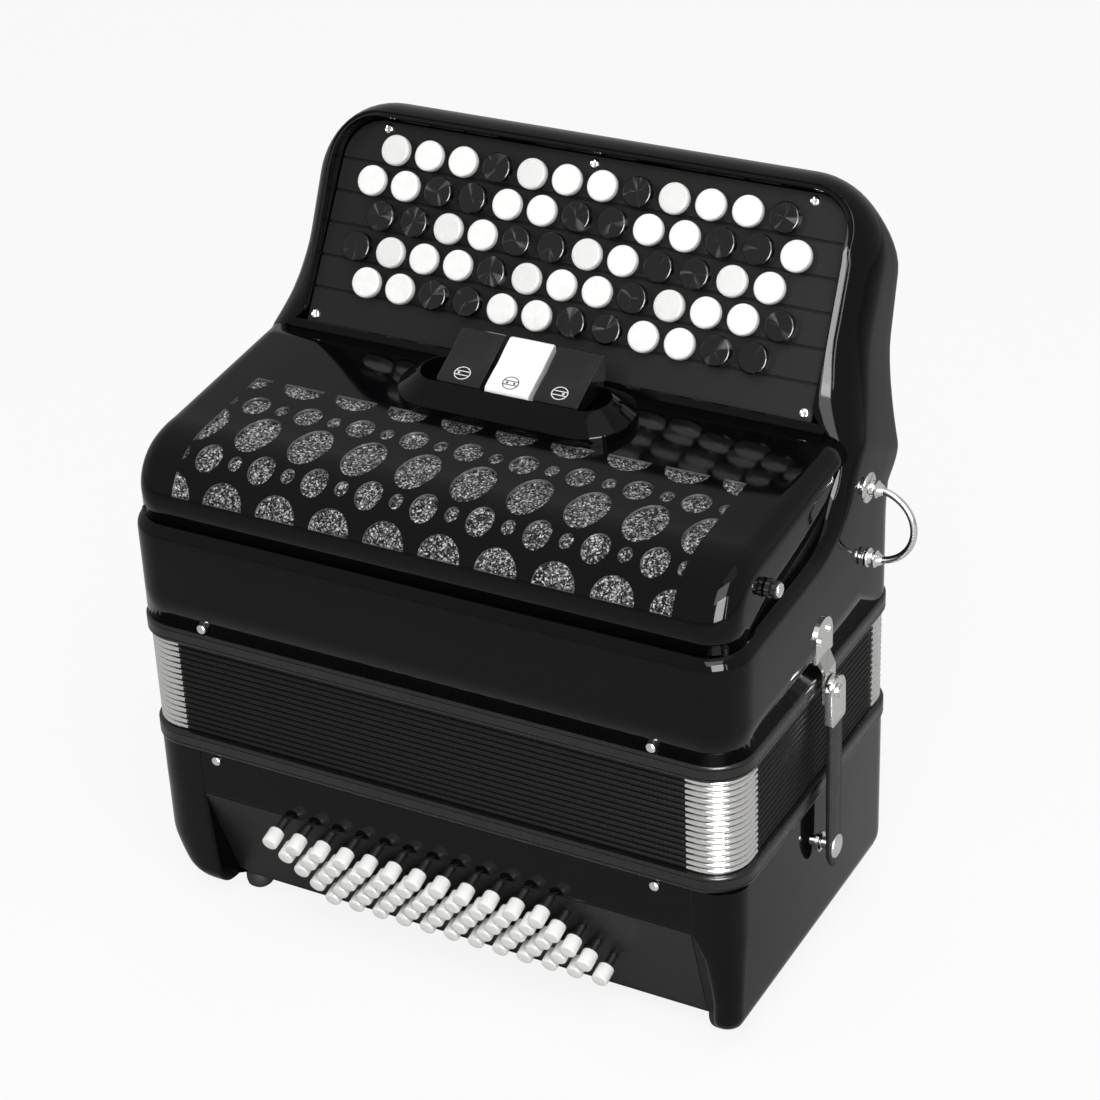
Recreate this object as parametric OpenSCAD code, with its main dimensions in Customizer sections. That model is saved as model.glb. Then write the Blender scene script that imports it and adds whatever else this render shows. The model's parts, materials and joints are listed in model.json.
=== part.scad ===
// Chromatic button accordion, stored standing on its bass end.
// X runs along the keyboard, +Y is the side that lies against the player,
// +Z points from the bass end to the treble end, and Z = 0 is the floor.

/* [Body] */
// Length of both casings along the keyboard
body_l = 322; // [310:1:334]
// Depth of both casings, front to back
body_d = 185.6; // [180:0.2:192]
// Radius of the upright corners of the casings
corner_r = 20; // [14:1:22]
// Thickness of the casing walls
wall = 7; // [6:0.5:8]
// How far the rubber feet lift the bass casing off the floor
foot_h = 12; // [11:0.5:16]
// Radius of a rubber foot
foot_r = 7; // [5:0.5:7.5]
// How far the left feet stand in from the round corner, past their own radius
foot_in = 4; // [0:1:12]
// Distance of the feet from the middle, front to back
foot_y = 67; // [60:1:68]

/* [Bass casing] */
// Height of the bass casing
bass_h = 83; // [80:1:90]
// Radius of the round lower corner at the left end of the bass casing
bass_end_r = 30; // [24:1:40]
// Radius of the round lower corner at its right end
bass_right_r = 12; // [9:1:24]
// Height of the bass front above the button recess
bass_brow_h = 25; // [22:1:28]
// Lean of the sunk bass button board from upright
bass_lean = 16.2; // [12:0.2:18]
// Half length of the sunk bass button board
bass_board_half = 133.5; // [125:0.5:136]
// Offset of the bass button board from the middle, towards the top strap end
bass_board_x = 4.5; // [0:0.5:6]
// Thickness of the bass button board
bass_board_t = 4; // [3:0.5:4.5]
// Length of the end plate that closes the bass casing below
end_plate_l = 160; // [140:1:170]
// Width of the end plate
end_plate_d = 106; // [90:1:112]

/* [Bass buttons] */
// Buttons in each bass row
bass_columns = 12; // [8:1:12]
// Distance between two buttons of a bass row
bass_pitch = 13.4; // [12:0.1:14]
// Distance between two bass rows
bass_row_gap = 8; // [7.5:0.1:9]
// Sideways step from each bass row to the next one below
bass_row_step = 7; // [6:0.1:7.4]
// Distance of the first bass row below the upper edge of its board
bass_first_row = 4.5; // [4:0.1:6]
// Radius of a bass button cap
bass_cap_r = 4.5; // [4:0.1:4.6]
// Length of a bass button cap
bass_cap_h = 8.5; // [7:0.1:10]
// Radius of a bass button stem
bass_stem_r = 2.2; // [1.8:0.1:2.4]
// Bare length of stem between the board and the cap
bass_stem_h = 7.6; // [6:0.1:9]

/* [Bellows] */
// Number of folds in the bellows
folds = 16; // [16:1:16]
// Height of one closed fold
fold_pitch = 3.225; // [3:0.005:3.6]
// Depth of a fold, from its outer edge to its inner edge
fold_depth = 25; // [20:0.5:28]
// Height of the wooden frames at both ends of the bellows
band_h = 8.8; // [8:0.1:10]
// How far the frames stand proud of the casings
band_proud = 1; // [0.5:0.1:1.5]
// How far the folds sit inside the casing outline
fold_inset = 1.6; // [1.2:0.1:2.4]
// Length of a bright corner clip along the front and the back
clip_x = 23.5; // [22.5:0.5:26]
// Length of a bright corner clip along the two ends
clip_y = 24.8; // [22.5:0.1:26]
// Thickness of the sheet metal of a corner clip
clip_t = 0.5; // [0.4:0.1:0.8]

/* [Treble casing] */
// Height of the treble casing at its front
ledge_h = 54.3; // [50:0.1:60]
// Rise of the casing edge from front to back, before it turns up
ledge_rise = 5; // [2:0.5:6]
// Height at which the back of the treble side starts to lean
kink_h = 59.8; // [56:0.1:66]
// Height of the treble casing where the fingerboard is joined on
casing_h = 99.8; // [96:0.1:102]
// Radius of the hollow sweep from the casing edge up to the fingerboard
sweep_r = 42; // [34:1:46]

/* [Fingerboard] */
// Height of the top of the fingerboard above the bellows frame
fingerboard_h = 200.2; // [198:0.1:208]
// Radius of the rounded top of the fingerboard
nose_r = 22; // [19:0.5:22.5]
// Distance of the rounded top behind the middle of the body
nose_y = 99.8; // [99:0.1:103]
// Lean of the front rim of the fingerboard from upright
rim_lean = 25.6; // [24:0.2:27]
// Half width of the fingerboard above its flare
neck_half = 151; // [149:0.5:155]
// Radius of the two top corners of the fingerboard
neck_corner_r = 40; // [30:1:44]

/* [Treble buttons] */
// Lean of the treble button board from upright
board_lean = 32.28; // [31:0.1:33.5]
// Distance of the middle button tops behind the middle of the body
board_y = 66.6; // [65.5:0.1:68]
// Height of the middle button tops above the bellows frame
board_h = 156.1; // [155:0.1:158]
// Half width of the treble button board
board_half = 136.7; // [134:0.1:138]
// Thickness of the treble button board
board_t = 4; // [3:0.1:4]
// Distance between two buttons of a treble row
button_pitch = 19; // [18:0.1:19.3]
// Distance between two treble rows
row_gap = 16.64; // [16.2:0.02:17]
// Radius of a treble button cap
cap_r = 7.6; // [7:0.1:8]
// Thickness of a treble button cap
cap_h = 4.2; // [3.5:0.1:4.4]
// Height of the treble button tops above their board
button_rise = 8; // [7.9:0.1:9]
// Radius of the dark collar under a treble button cap
collar_r = 6.2; // [5.5:0.1:6.6]

/* [Grille cover] */
// Gap between the outline of the casing and the outline of the cover
cover_inset = 4; // [3.6:0.1:5]
// Thickness of the cover
cover_t = 2.4; // [2:0.1:3]
// Height of the flat top of the cover, at the middle of the body
cover_h = 98.1; // [97:0.1:100]
// Rise of the flat top towards the back, as a slope
cover_slope = 0.103; // [0.08:0.001:0.12]
// Length of the rounded front of the cover, front to back
roll_y = 38; // [34:1:42]
// Height of the rounded front of the cover
roll_z = 28; // [25:1:31]
// Distance of the back edge of the cover behind the middle
cover_back = 38; // [34:0.5:38]
// Radius of the knurled thumb screws that hold the cover
thumb_r = 4.5; // [3.5:0.1:5]

/* [Registers] */
// Half length of the register plinth
plinth_half = 61.5; // [60:0.5:70]
// Depth of the register plinth
plinth_d = 46; // [44:1:50]
// Height of the register plinth
plinth_h = 12; // [11:0.5:13]
// Distance between two register tabs
tab_pitch = 26; // [25.4:0.2:28]
// Width of a register tab
tab_w = 23.5; // [20:0.1:24]
// Slope of the top of a register tab
tab_slope = 22.5; // [20:0.5:24]

/* [Straps] */
// Radius of the wire of a shoulder strap ring
ring_wire_r = 1.7; // [1.4:0.1:2]
// Distance between the two legs of a strap ring
ring_h = 37.4; // [34:0.2:42]
// Reach of a strap ring from the casing
ring_reach = 23; // [21:0.5:28]
// Width of a bellows strap
strap_w = 12.5; // [10:0.1:13]
// Thickness of the leather of a bellows strap
strap_t = 2.7; // [2:0.1:3]
// Length from the rivet of a bellows strap to its snap
strap_l = 88; // [86:0.5:94]
// Width of the bass hand strap
hand_strap_w = 62; // [50:1:66]
// Half length of the bass hand strap
hand_strap_half = 128; // [120:1:130]

/* [Hidden] */
folds_max = 16;
$fn = 48;

eps = 0.01;          // overlap of a cut past a face
slack = 0.3;         // clearance between pieces that are laid together
play = 0.05;         // radial clearance of a turning pin
hx = body_l / 2;
hy = body_d / 2;
rows = 5;
middle_row = (rows + 1) / 2;

// levels of the stack, from the floor up
bass_z0 = foot_h;
feet_x = [-hx + bass_end_r + foot_r + foot_in, hx - bass_right_r - foot_r];
bass_z1 = bass_z0 + bass_h;
bellows_z0 = bass_z1 + band_h;
bellows_z1 = bellows_z0 + folds * fold_pitch;
treble_z0 = bellows_z1 + band_h;
ledge_z = treble_z0 + ledge_h;
sweep_z = ledge_z + ledge_rise;
kink_z = treble_z0 + kink_h;
split_z = treble_z0 + casing_h;
cover_z = treble_z0 + cover_h;
top_z = treble_z0 + fingerboard_h;

// bass board: its upper edge lies in the front face of the casing
bass_edge_z = bass_z1 - bass_brow_h;
bass_board_h = (bass_edge_z - bass_z0) / cos(bass_lean) - 2;
bass_in = 10;                     // length of the stems behind the board
bass_tip = bass_stem_h + bass_cap_h;

// fingerboard outline, seen from the end
nose_z = top_z - nose_r;
rim_top = [nose_y - nose_r * cos(rim_lean), nose_z + nose_r * sin(rim_lean)];
rim_foot_y = rim_top[0] - (rim_top[1] - sweep_z) * tan(rim_lean);
sweep_turn = 90 - rim_lean;
sweep_len = sweep_r * tan(sweep_turn / 2);
back_dir = atan2(nose_z - kink_z, nose_y - hy) - asin(nose_r / norm([nose_y - hy, nose_z - kink_z]));
flare_h = 66;                     // height over which the fingerboard narrows

// the bounding box is centred on Y = 0
front_y = -hy + bass_first_row * sin(bass_lean) - bass_tip * cos(bass_lean) - bass_cap_r * sin(bass_lean);
back_y = nose_y + nose_r;
centre_y = (front_y + back_y) / 2;

// soundboards and reed blocks
ledge_w = 6;                      // width and height of the ledges that carry the soundboards
sound_t = 6;
lip_h = 10;                       // lip of a bellows frame inside its casing
lip_t = 6;
bass_sound_z = bass_z1 - lip_h - 2 - sound_t;
treble_sound_z = treble_z0 + lip_h + 2;
block_l = 216;
block_w = 14;
block_gap = 24;
block_play = 1.6;                 // room between the reed blocks and the folds that close round them
block_h = 46;
reeds = 12;
reed_pitch = 17.4;
plate_w = 13.5;
plate_t = 1.6;
plate_h = 40;
fold_in_y = hy - fold_inset - fold_depth;
treble_block_y = [for (i = [0:2]) -fold_in_y + block_w / 2 + plate_t + block_play + i * block_gap];
bass_block_y = [for (i = [1:-1:0]) fold_in_y - block_w / 2 - plate_t - 2 * block_play - i * block_gap];

// frame pins
pin_x = 120;
pin_r = 1.5;
pin_head_r = 2.6;
pin_drop = 4;                     // distance of the pins from the edge of the bass casing
treble_pin_drop = 2.7;            // the same on the treble casing
pin_reach = wall + lip_t - 1;

// air button
air_x = 98;
air_y = -32;
air_r = 6;
floor_t = 8;                      // thickness of the bass casing's floor

// hand strap
hand_strap_t = 3;
hand_gap = 4.8;
hand_y = 28;
anchor_w = 16;
anchor_t = 1.4;

// bellows straps, laid out for the end at +X and mirrored for the other
strap_y = 2;
rivet_z = bellows_z1 - 0.4;
rivet_r = 2;
lug_t = 1.4;
lug_x = hx + 3;
buckle_x = lug_x + lug_t + 0.4;
buckle_t = strap_t + 1.6;
strap_x = buckle_x + 0.8;
snap_z = rivet_z - strap_l;
snap_r = 6;
tail = 11;                        // leather below the snap
plate_z0 = treble_z0 + 7.8;
plate_len = 20;
plate_half = 9.5;

// strap rings
ring_y = 54.7;
ring_z = treble_z0 + 51.1;
ring_bend = 14;
ferrule_r = 4.7;
ferrule_h = 3;
washer_r = 7.5;

// grille cover
cover_half = hx - cover_inset;
cover_front = -hy + cover_inset;
cover_corner = corner_r - cover_inset;
cover_foot_z = ledge_z + slack + 0.5;
groove_h = 14;                    // height of the casing's upstand inside the cover
upstand_t = 4.5;
hole_pitch = 29;
thumb_y = -51;
thumb_z = cover_foot_z + 17;

// treble board: heights along it are measured from the middle row
board_top = 47.7;
board_foot = -57;
board_corner = 20;
button_in = 7;                    // length of the collars behind the board
top_screw_x = 114.5;              // places of the board's screws
top_screw_in = 3.7;
foot_screw_in = 4.1;
board_screw_r = 1.3;
screw_depth = 14;                 // length of a screw's hole in the fingerboard
cavity_half = 128;
cavity_d = 14;

function arc(y, z, r, a, b, n) = [for (i = [0:n]) let (t = a + (b - a) * i / n) [y + r * cos(t), z + r * sin(t)]];
function cover_top(y) = cover_z + cover_slope * y;

// side view of the treble casing and fingerboard together, front first
treble_outline = concat(
    [[-hy, treble_z0]],
    arc(-hy + 6, ledge_z - 6, 6, 180, 94, 4),
    arc(rim_foot_y - sweep_len, sweep_z + sweep_r, sweep_r, -90, -90 + sweep_turn, 12),
    arc(nose_y, nose_z, nose_r, 180 - rim_lean, back_dir - 90, 16),
    [[hy, kink_z], [hy, treble_z0]]);

// front view of the fingerboard
flare = [for (i = [0:10]) let (s = i / 10)
    [neck_half + (hx - neck_half) * (1 - s) * (1 - s), split_z + min(flare_h, top_z - neck_corner_r - split_z) * s]];
neck_outline = concat(
    flare,
    arc(neck_half - neck_corner_r, top_z - neck_corner_r, neck_corner_r, 0, 90, 12),
    arc(-neck_half + neck_corner_r, top_z - neck_corner_r, neck_corner_r, 90, 180, 12),
    [for (i = [10:-1:0]) [-flare[i][0], flare[i][1]]]);

// side view of the cover, thinned by t all round
function cover_curve(t) = concat(
    [for (i = [0:12]) let (a = 180 - 90 * i / 12)
        [cover_front + roll_y + (roll_y - t) * cos(a),
         cover_top(cover_front + roll_y) - roll_z + (roll_z - t) * sin(a)]],
    [[cover_back, cover_top(cover_back) - t]]);
cover_skirt = [[28.8, cover_z - 6], [17, cover_z - 18], [-7, cover_z - 26], [-47.5, cover_z - 34.5],
               [cover_front, cover_foot_z]];

module placed() translate([0, -centre_y, 0]) children();
module both_ends() for (m = [0, 1]) mirror([m, 0, 0]) children();
module across(half) rotate([90, 0, 90]) translate([0, 0, -half]) linear_extrude(2 * half) children();
module rounded(l, d, r) {
    square([l - 2 * r, d], center = true);
    square([l, d - 2 * r], center = true);
    for (x = [-1, 1], y = [-1, 1]) translate([x * (l / 2 - r), y * (d / 2 - r)]) circle(r);
}
module slab(l, d, r, z, h) translate([0, 0, z]) linear_extrude(h) rounded(l, d, r);
module box(x0, x1, y0, y1, z0, z1) translate([x0, y0, z0]) cube([x1 - x0, y1 - y0, z1 - z0]);
module rod_x(r, x0, x1, y, z) translate([x0, y, z]) rotate([0, 90, 0]) cylinder(h = x1 - x0, r = r);

// frame of the bass board: +Z up the board, -Y out of it, origin at its upper edge
module on_bass_board() translate([bass_board_x, -hy, bass_edge_z]) rotate([bass_lean, 0, 0]) children();
// frame of the treble board's face: +Z up the board, -Y out of it, origin under the middle row
module on_board() translate([0, board_y, treble_z0 + board_h]) rotate([-board_lean, 0, 0])
    translate([0, button_rise, 0]) children();
// frame of the flat top of the cover at a distance behind the middle
module on_cover(y) translate([0, y, cover_top(y)]) rotate([atan(cover_slope), 0, 0]) children();

// ---------------------------------------------------------------- bass side
module bass_outside() intersection() {
    slab(body_l, body_d, corner_r, bass_z0, bass_h);
    rotate([90, 0, 0]) translate([0, 0, -hy - 1]) linear_extrude(body_d + 2) bass_end_view(0);
}
module bass_end_view(t) {
    translate([-hx + t, bass_z0 + bass_end_r]) square([body_l - 2 * t, bass_h]);
    translate([-hx + bass_end_r, bass_z0 + t]) square([body_l - bass_end_r - bass_right_r, bass_end_r]);
    translate([hx - bass_end_r, bass_z0 + bass_right_r]) square([bass_end_r - t, bass_end_r]);
    translate([-hx + bass_end_r, bass_z0 + bass_end_r]) circle(bass_end_r - t);
    translate([hx - bass_right_r, bass_z0 + bass_right_r]) circle(bass_right_r - t);
}
module bass_inside() intersection() {
    slab(body_l - 2 * wall, body_d - 2 * wall, corner_r - wall, bass_z0 + floor_t, bass_h);
    rotate([90, 0, 0]) translate([0, 0, -hy - 1]) linear_extrude(body_d + 2) bass_end_view(wall);
}
module frame_pin_places(z) for (x = [-pin_x, pin_x], s = [-1, 1])
    translate([x, s * hy, z]) rotate([s * -90, 0, 0]) children();
module pin_hole() translate([0, 0, -wall - lip_t - 2]) cylinder(h = wall + lip_t + 3, r = pin_r + play);

module bass_casing() color("#16161a") placed() difference() {
    bass_outside();
    difference() {
        bass_inside();
        on_bass_board() box(-bass_board_half - wall, bass_board_half + wall, -60, bass_board_t + 3, -90, 4);
        difference() {
            slab(body_l, body_d, corner_r, bass_sound_z - ledge_w, ledge_w);
            slab(body_l - 2 * (wall + ledge_w), body_d - 2 * (wall + ledge_w), corner_r - wall - 1,
                 bass_sound_z - ledge_w - 1, ledge_w + 2);
        }
    }
    on_bass_board() {
        box(-bass_board_half - slack, bass_board_half + slack, -60, 0, -90, 0);
        box(-bass_board_half - slack, bass_board_half + slack, -eps, bass_board_t + slack,
            -bass_board_h - slack, -0.6);
        box(-bass_board_half + 4, bass_board_half - 4, 0, 26, -bass_board_h + 6, -1.8);
    }
    translate([0, 10, 0]) {
        slab(end_plate_l + 2 * slack, end_plate_d + 2 * slack, 6, bass_z0 - eps, 4);
        slab(end_plate_l - 12, end_plate_d - 12, 4, bass_z0 - eps, floor_t + 2);
    }
    translate([air_x, air_y, bass_z0 - 1]) cylinder(h = floor_t + 4, r = air_r + 0.2);
    frame_pin_places(bass_z1 - pin_drop) pin_hole();
}

module bass_end_plate() color("#1c1c20") placed() translate([0, 10, 0])
    slab(end_plate_l, end_plate_d, 6, bass_z0, 4 - slack);

module bass_button_places(k)
    for (i = [0:bass_columns - 1])
        translate([(i - (bass_columns - 1) / 2) * bass_pitch + (k - middle_row) * bass_row_step, 0,
                   -bass_first_row - (k - 1) * bass_row_gap]) children();

module bass_button_board() color("#202024") placed() on_bass_board() difference() {
    box(-bass_board_half, bass_board_half, 0, bass_board_t, -bass_board_h, -1);
    for (k = [1:rows]) bass_button_places(k)
        translate([0, -1, 0]) rotate([-90, 0, 0]) cylinder(h = bass_board_t + 2, r = bass_stem_r + 0.25);
}

module bass_row(k) placed() on_bass_board() bass_button_places(k) rotate([90, 0, 0]) {
    color("#1a1a1d") union() {
        translate([0, 0, -bass_in]) cylinder(h = bass_in + bass_stem_h - play, r = bass_stem_r);
        cylinder(h = bass_stem_h + bass_cap_h - 3, r = bass_stem_r - 0.6);
    }
    color("white") translate([0, 0, bass_stem_h]) difference() {
        cylinder(h = bass_cap_h, r = bass_cap_r);
        translate([0, 0, -eps]) cylinder(h = bass_cap_h - 2.5, r = bass_stem_r - 0.5);
    }
}

// a bellows frame: the band seen outside, and a lip that fits inside the casing at z
module frame_ring(z, lip_z, pins_z) {
    difference() {
        union() {
            slab(body_l + 2 * band_proud, body_d + 2 * band_proud, corner_r + band_proud, z, band_h);
            slab(body_l - 2 * wall - 2 * slack, body_d - 2 * wall - 2 * slack, corner_r - wall, lip_z, lip_h);
        }
        slab(body_l - 2 * (wall + lip_t), body_d - 2 * (wall + lip_t), corner_r - wall - 2,
             min(z, lip_z) - 1, band_h + lip_h + 2);
        frame_pin_places(pins_z) pin_hole();
    }
}
module bass_frame() color("#121214") placed() frame_ring(bass_z1, bass_z1 - lip_h, bass_z1 - pin_drop);
module treble_frame() color("#121214") placed() frame_ring(bellows_z1, treble_z0, treble_z0 + treble_pin_drop);

module frame_pins(z) color("silver") placed() frame_pin_places(z) {
    rotate_extrude() intersection() {
        translate([0, -2.6]) circle(4);
        square([pin_head_r, 2]);
    }
    translate([0, 0, -pin_reach]) cylinder(h = pin_reach + 0.5, r = pin_r);
}
module bass_frame_pins() frame_pins(bass_z1 - pin_drop);
module treble_frame_pins() frame_pins(treble_z0 + treble_pin_drop);

module feet() color("#0d0d0d") placed() for (x = feet_x, y = [-1, 1])
    translate([x, y * foot_y, 0]) {
        cylinder(h = 2, r1 = foot_r - 1.8, r2 = foot_r);
        translate([0, 0, 2]) cylinder(h = foot_h - 2, r = foot_r);
    }

module soundboard(z, ys) difference() {
    slab(body_l - 2 * wall - 2 * slack, body_d - 2 * wall - 2 * slack, corner_r - wall, z, sound_t);
    for (y = ys, i = [0:reeds - 1])
        translate([(i - (reeds - 1) / 2) * reed_pitch, y, z + sound_t / 2]) cube([9, 8, sound_t + 2], center = true);
}
module bass_soundboard() color("burlywood") placed() soundboard(bass_sound_z, bass_block_y);
module treble_soundboard() color("burlywood") placed() soundboard(treble_sound_z, treble_block_y);

// wooden blocks with one air chamber behind each pair of reeds
module reed_blocks(z, ys) for (y = ys) difference() {
    box(-block_l / 2, block_l / 2, y - block_w / 2, y + block_w / 2, z, z + block_h);
    for (i = [0:reeds - 1])
        translate([(i - (reeds - 1) / 2) * reed_pitch, y, z + block_h / 2])
            cube([9, block_w + 2, plate_h - 12], center = true);
}
module reed_plates(z, ys) for (y = ys, s = [-1, 1], i = [0:reeds - 1])
    translate([(i - (reeds - 1) / 2) * reed_pitch, y + s * (block_w / 2 + plate_t / 2 + play), z + block_h / 2])
        difference() {
            cube([plate_w, plate_t, plate_h], center = true);
            for (x = [-1, 1]) translate([x * 3.2, 0, x * 2]) cube([2.6, plate_t + 1, plate_h - 10], center = true);
        }
bass_blocks_z = bass_sound_z + sound_t;
treble_blocks_z = treble_sound_z - block_h;
module bass_reed_blocks() color("tan") placed() reed_blocks(bass_blocks_z, bass_block_y);
module treble_reed_blocks() color("tan") placed() reed_blocks(treble_blocks_z, treble_block_y);
module bass_reed_plates() color("lightgray") placed() reed_plates(bass_blocks_z, bass_block_y);
module treble_reed_plates() color("lightgray") placed() reed_plates(treble_blocks_z, treble_block_y);

// leather strap under the bass end: the hand goes between it and the casing
module bass_hand_strap() color("#141414") placed() translate([0, hand_y + hand_strap_w / 2, 0])
    rotate([90, 0, 0]) linear_extrude(hand_strap_w) {
        z1 = bass_z0 - play;
        z0 = z1 - hand_gap;
        e = hand_strap_half - 20;
        polygon([[-hand_strap_half, z1], [-e, z1], [-e + 14, z0], [e - 14, z0], [e, z1], [hand_strap_half, z1],
                 [hand_strap_half, z1 - hand_strap_t], [e + 1, z1 - hand_strap_t], [e - 13, z0 - hand_strap_t],
                 [-e + 13, z0 - hand_strap_t], [-e - 1, z1 - hand_strap_t], [-hand_strap_half, z1 - hand_strap_t]]);
    }

module hand_strap_anchors() color("silver") placed() both_ends() {
    z = bass_z0 - play - hand_strap_t - play;
    x = hand_strap_half - anchor_w / 2 - 1;
    translate([x, hand_y, z - anchor_t]) linear_extrude(anchor_t) rounded(anchor_w, hand_strap_w - 6, 3);
    for (s = [-1, 1]) translate([x, hand_y + s * 20, z - anchor_t - play - 1.2])
        cylinder(h = 1.2, r1 = 2.4, r2 = 3.2);
}

module air_button() color("#101010") placed() translate([air_x, air_y, 0]) {
    translate([0, 0, bass_z0 - 5]) cylinder(h = floor_t + 5 + slack, r = air_r);
    translate([0, 0, bass_z0 + floor_t + slack]) cylinder(h = 2.5, r = air_r + 3);
}

// ------------------------------------------------------------------ bellows
module bellows_fold(k) placed() {
    z = bellows_z0 + (k - 1) * fold_pitch + slack / 2;
    h = fold_pitch - slack;
    l = body_l - 2 * fold_inset;
    d = body_d - 2 * fold_inset;
    t = clip_t + play;
    color("#17171a") difference() {
        slab(l, d, corner_r - fold_inset, z, h);
        slab(l - 2 * fold_depth, d - 2 * fold_depth, 4, z - 1, h + 2);
        corner_squares(l, d, z - 1, h + 2, 2 * play) difference() {
            rounded(l + 2, d + 2, corner_r);
            rounded(l - 2 * t, d - 2 * t, corner_r - fold_inset - t);
        }
    }
    color("silver") corner_squares(l, d, z, h, 0) difference() {
        rounded(l, d, corner_r - fold_inset);
        rounded(l - 2 * clip_t, d - 2 * clip_t, corner_r - fold_inset - clip_t);
    }
}
// keeps what lies within a clip's length, and g more, of each corner of an l by d outline
module corner_squares(l, d, z, h, g) translate([0, 0, z]) linear_extrude(h) intersection() {
    children();
    for (x = [-1, 1], y = [-1, 1]) translate([x * l / 2, y * d / 2])
        square(2 * [clip_x + g, clip_y + g], center = true);
}

// -------------------------------------------------------------- treble side
module treble_outside() intersection() {
    across(hx + 1) polygon(treble_outline);
    union() {
        slab(body_l, body_d, corner_r, treble_z0, kink_h);
        translate([0, (back_y - hy) / 2, 0])
            slab(body_l, body_d + back_y - hy, corner_r, kink_z, split_z - kink_z);
    }
}

module cover_upstand() intersection() {
    across(cover_half - cover_t - slack) polygon(concat(cover_curve(cover_t + 2), [[cover_front + 8, ledge_z - 20]]));
    union() both_ends() translate([cover_half - cover_t - slack - upstand_t, 0, 0]) rotate([90, 0, 90])
        linear_extrude(upstand_t) polygon(concat(
            [for (p = cover_skirt) [max(p[0], cover_front + 12), p[1] + groove_h]],
            [[cover_front + 12, ledge_z - 12], [40, ledge_z - 12], [40, cover_z - 6]]));
}

module treble_casing() color("#16161a") placed() difference() {
    union() {
        difference() {
            treble_outside();
            slab(body_l - 2 * wall, body_d - 2 * wall, corner_r - wall, treble_sound_z + sound_t + ledge_w, 200);
            slab(body_l - 2 * (wall + ledge_w), body_d - 2 * (wall + ledge_w), corner_r - wall - 1,
                 treble_sound_z, 20);
            slab(body_l - 2 * wall, body_d - 2 * wall, corner_r - wall, treble_z0 - 1,
                 treble_sound_z + sound_t - treble_z0 + 1);
        }
        cover_upstand();
    }
    frame_pin_places(treble_z0 + treble_pin_drop) pin_hole();
    rod_x(rivet_r + play, -hx, hx, thumb_y, thumb_z);
    for (s = [-1, 1]) rod_x(ring_wire_r + play, -hx - 1, hx + 1, ring_y, ring_z + s * ring_h / 2);
}

module fingerboard() color("#16161a") placed() difference() {
    intersection() {
        across(hx + 1) polygon(treble_outline);
        translate([0, hy + 60, 0]) rotate([90, 0, 0]) linear_extrude(3 * hy) polygon(neck_outline);
    }
    on_board() {
        board_shape(slack, -80, -eps) translate([0, board_foot - 60]) square([2 * board_half, 120], center = true);
        board_shape(slack, -eps, board_t + slack);
        box(-cavity_half, cavity_half, 0, board_t + cavity_d, board_foot - 40, board_top - 7);
    }
    on_board() screw_places() translate([0, screw_depth, 0]) rotate([90, 0, 0])
        cylinder(h = screw_depth + 2, r = board_screw_r);
}
// the board's outline, grown by g, between two distances behind its face
module board_shape(g, y0, y1) {
    r = board_corner + g;
    w = board_half + g;
    translate([0, y1, 0]) rotate([90, 0, 0]) linear_extrude(y1 - y0) {
        translate([-w, board_foot - g]) square([2 * w, board_top + g - r - board_foot + g]);
        translate([-w + r, board_top - r - 1]) square([2 * (w - r), r + g + 1]);
        for (x = [-1, 1]) translate([x * (w - r), board_top + g - r]) circle(r);
    }
}
function row_count(k) = k % 2 == 1 ? 12 : 13;
module button_places(k) for (i = [0:row_count(k) - 1])
    translate([(i - (row_count(k) - 1) / 2) * button_pitch, 0, (middle_row - k) * row_gap]) children();
module screw_places() {
    for (x = [-top_screw_x, 0, top_screw_x]) translate([x, 0, board_top - top_screw_in]) children();
    for (x = [-1, 1]) translate([x * (board_half - foot_screw_in), 0, board_foot + foot_screw_in]) children();
}

module button_board() color("#1b1b1e") placed() on_board() difference() {
    board_shape(0, 0, board_t);
    for (k = [1:rows]) button_places(k) translate([0, -1, 0]) rotate([-90, 0, 0])
        cylinder(h = board_t + 2, r = collar_r + 0.25);
    screw_places() translate([0, -1, 0]) rotate([-90, 0, 0]) cylinder(h = board_t + 2, r = board_screw_r);
}

// caps in the colours of the notes: 1 is white and 0 is black, repeated along each row
white_keys = [[1, 1, 1, 0], [1, 1, 0, 0], [0, 0, 1, 1], [0, 1, 1, 1], [1, 1, 0, 0]];
module treble_row(k) placed() on_board() rotate([90, 0, 0]) for (i = [0:row_count(k) - 1])
    translate([(i - (row_count(k) - 1) / 2) * button_pitch, (middle_row - k) * row_gap, 0]) {
        color("#141416") union() {
            translate([0, 0, -board_t - button_in])
                cylinder(h = board_t + button_in + button_rise - cap_h - play, r = collar_r);
            cylinder(h = button_rise - 1.6, r = 3);
        }
        color(white_keys[k - 1][i % 4] == 1 ? "white" : "#222226") translate([0, 0, button_rise - cap_h])
            difference() {
                cylinder(h = cap_h, r = cap_r);
                translate([0, 0, -eps]) cylinder(h = cap_h - 1.5, r = 3.1);
            }
    }

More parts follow.
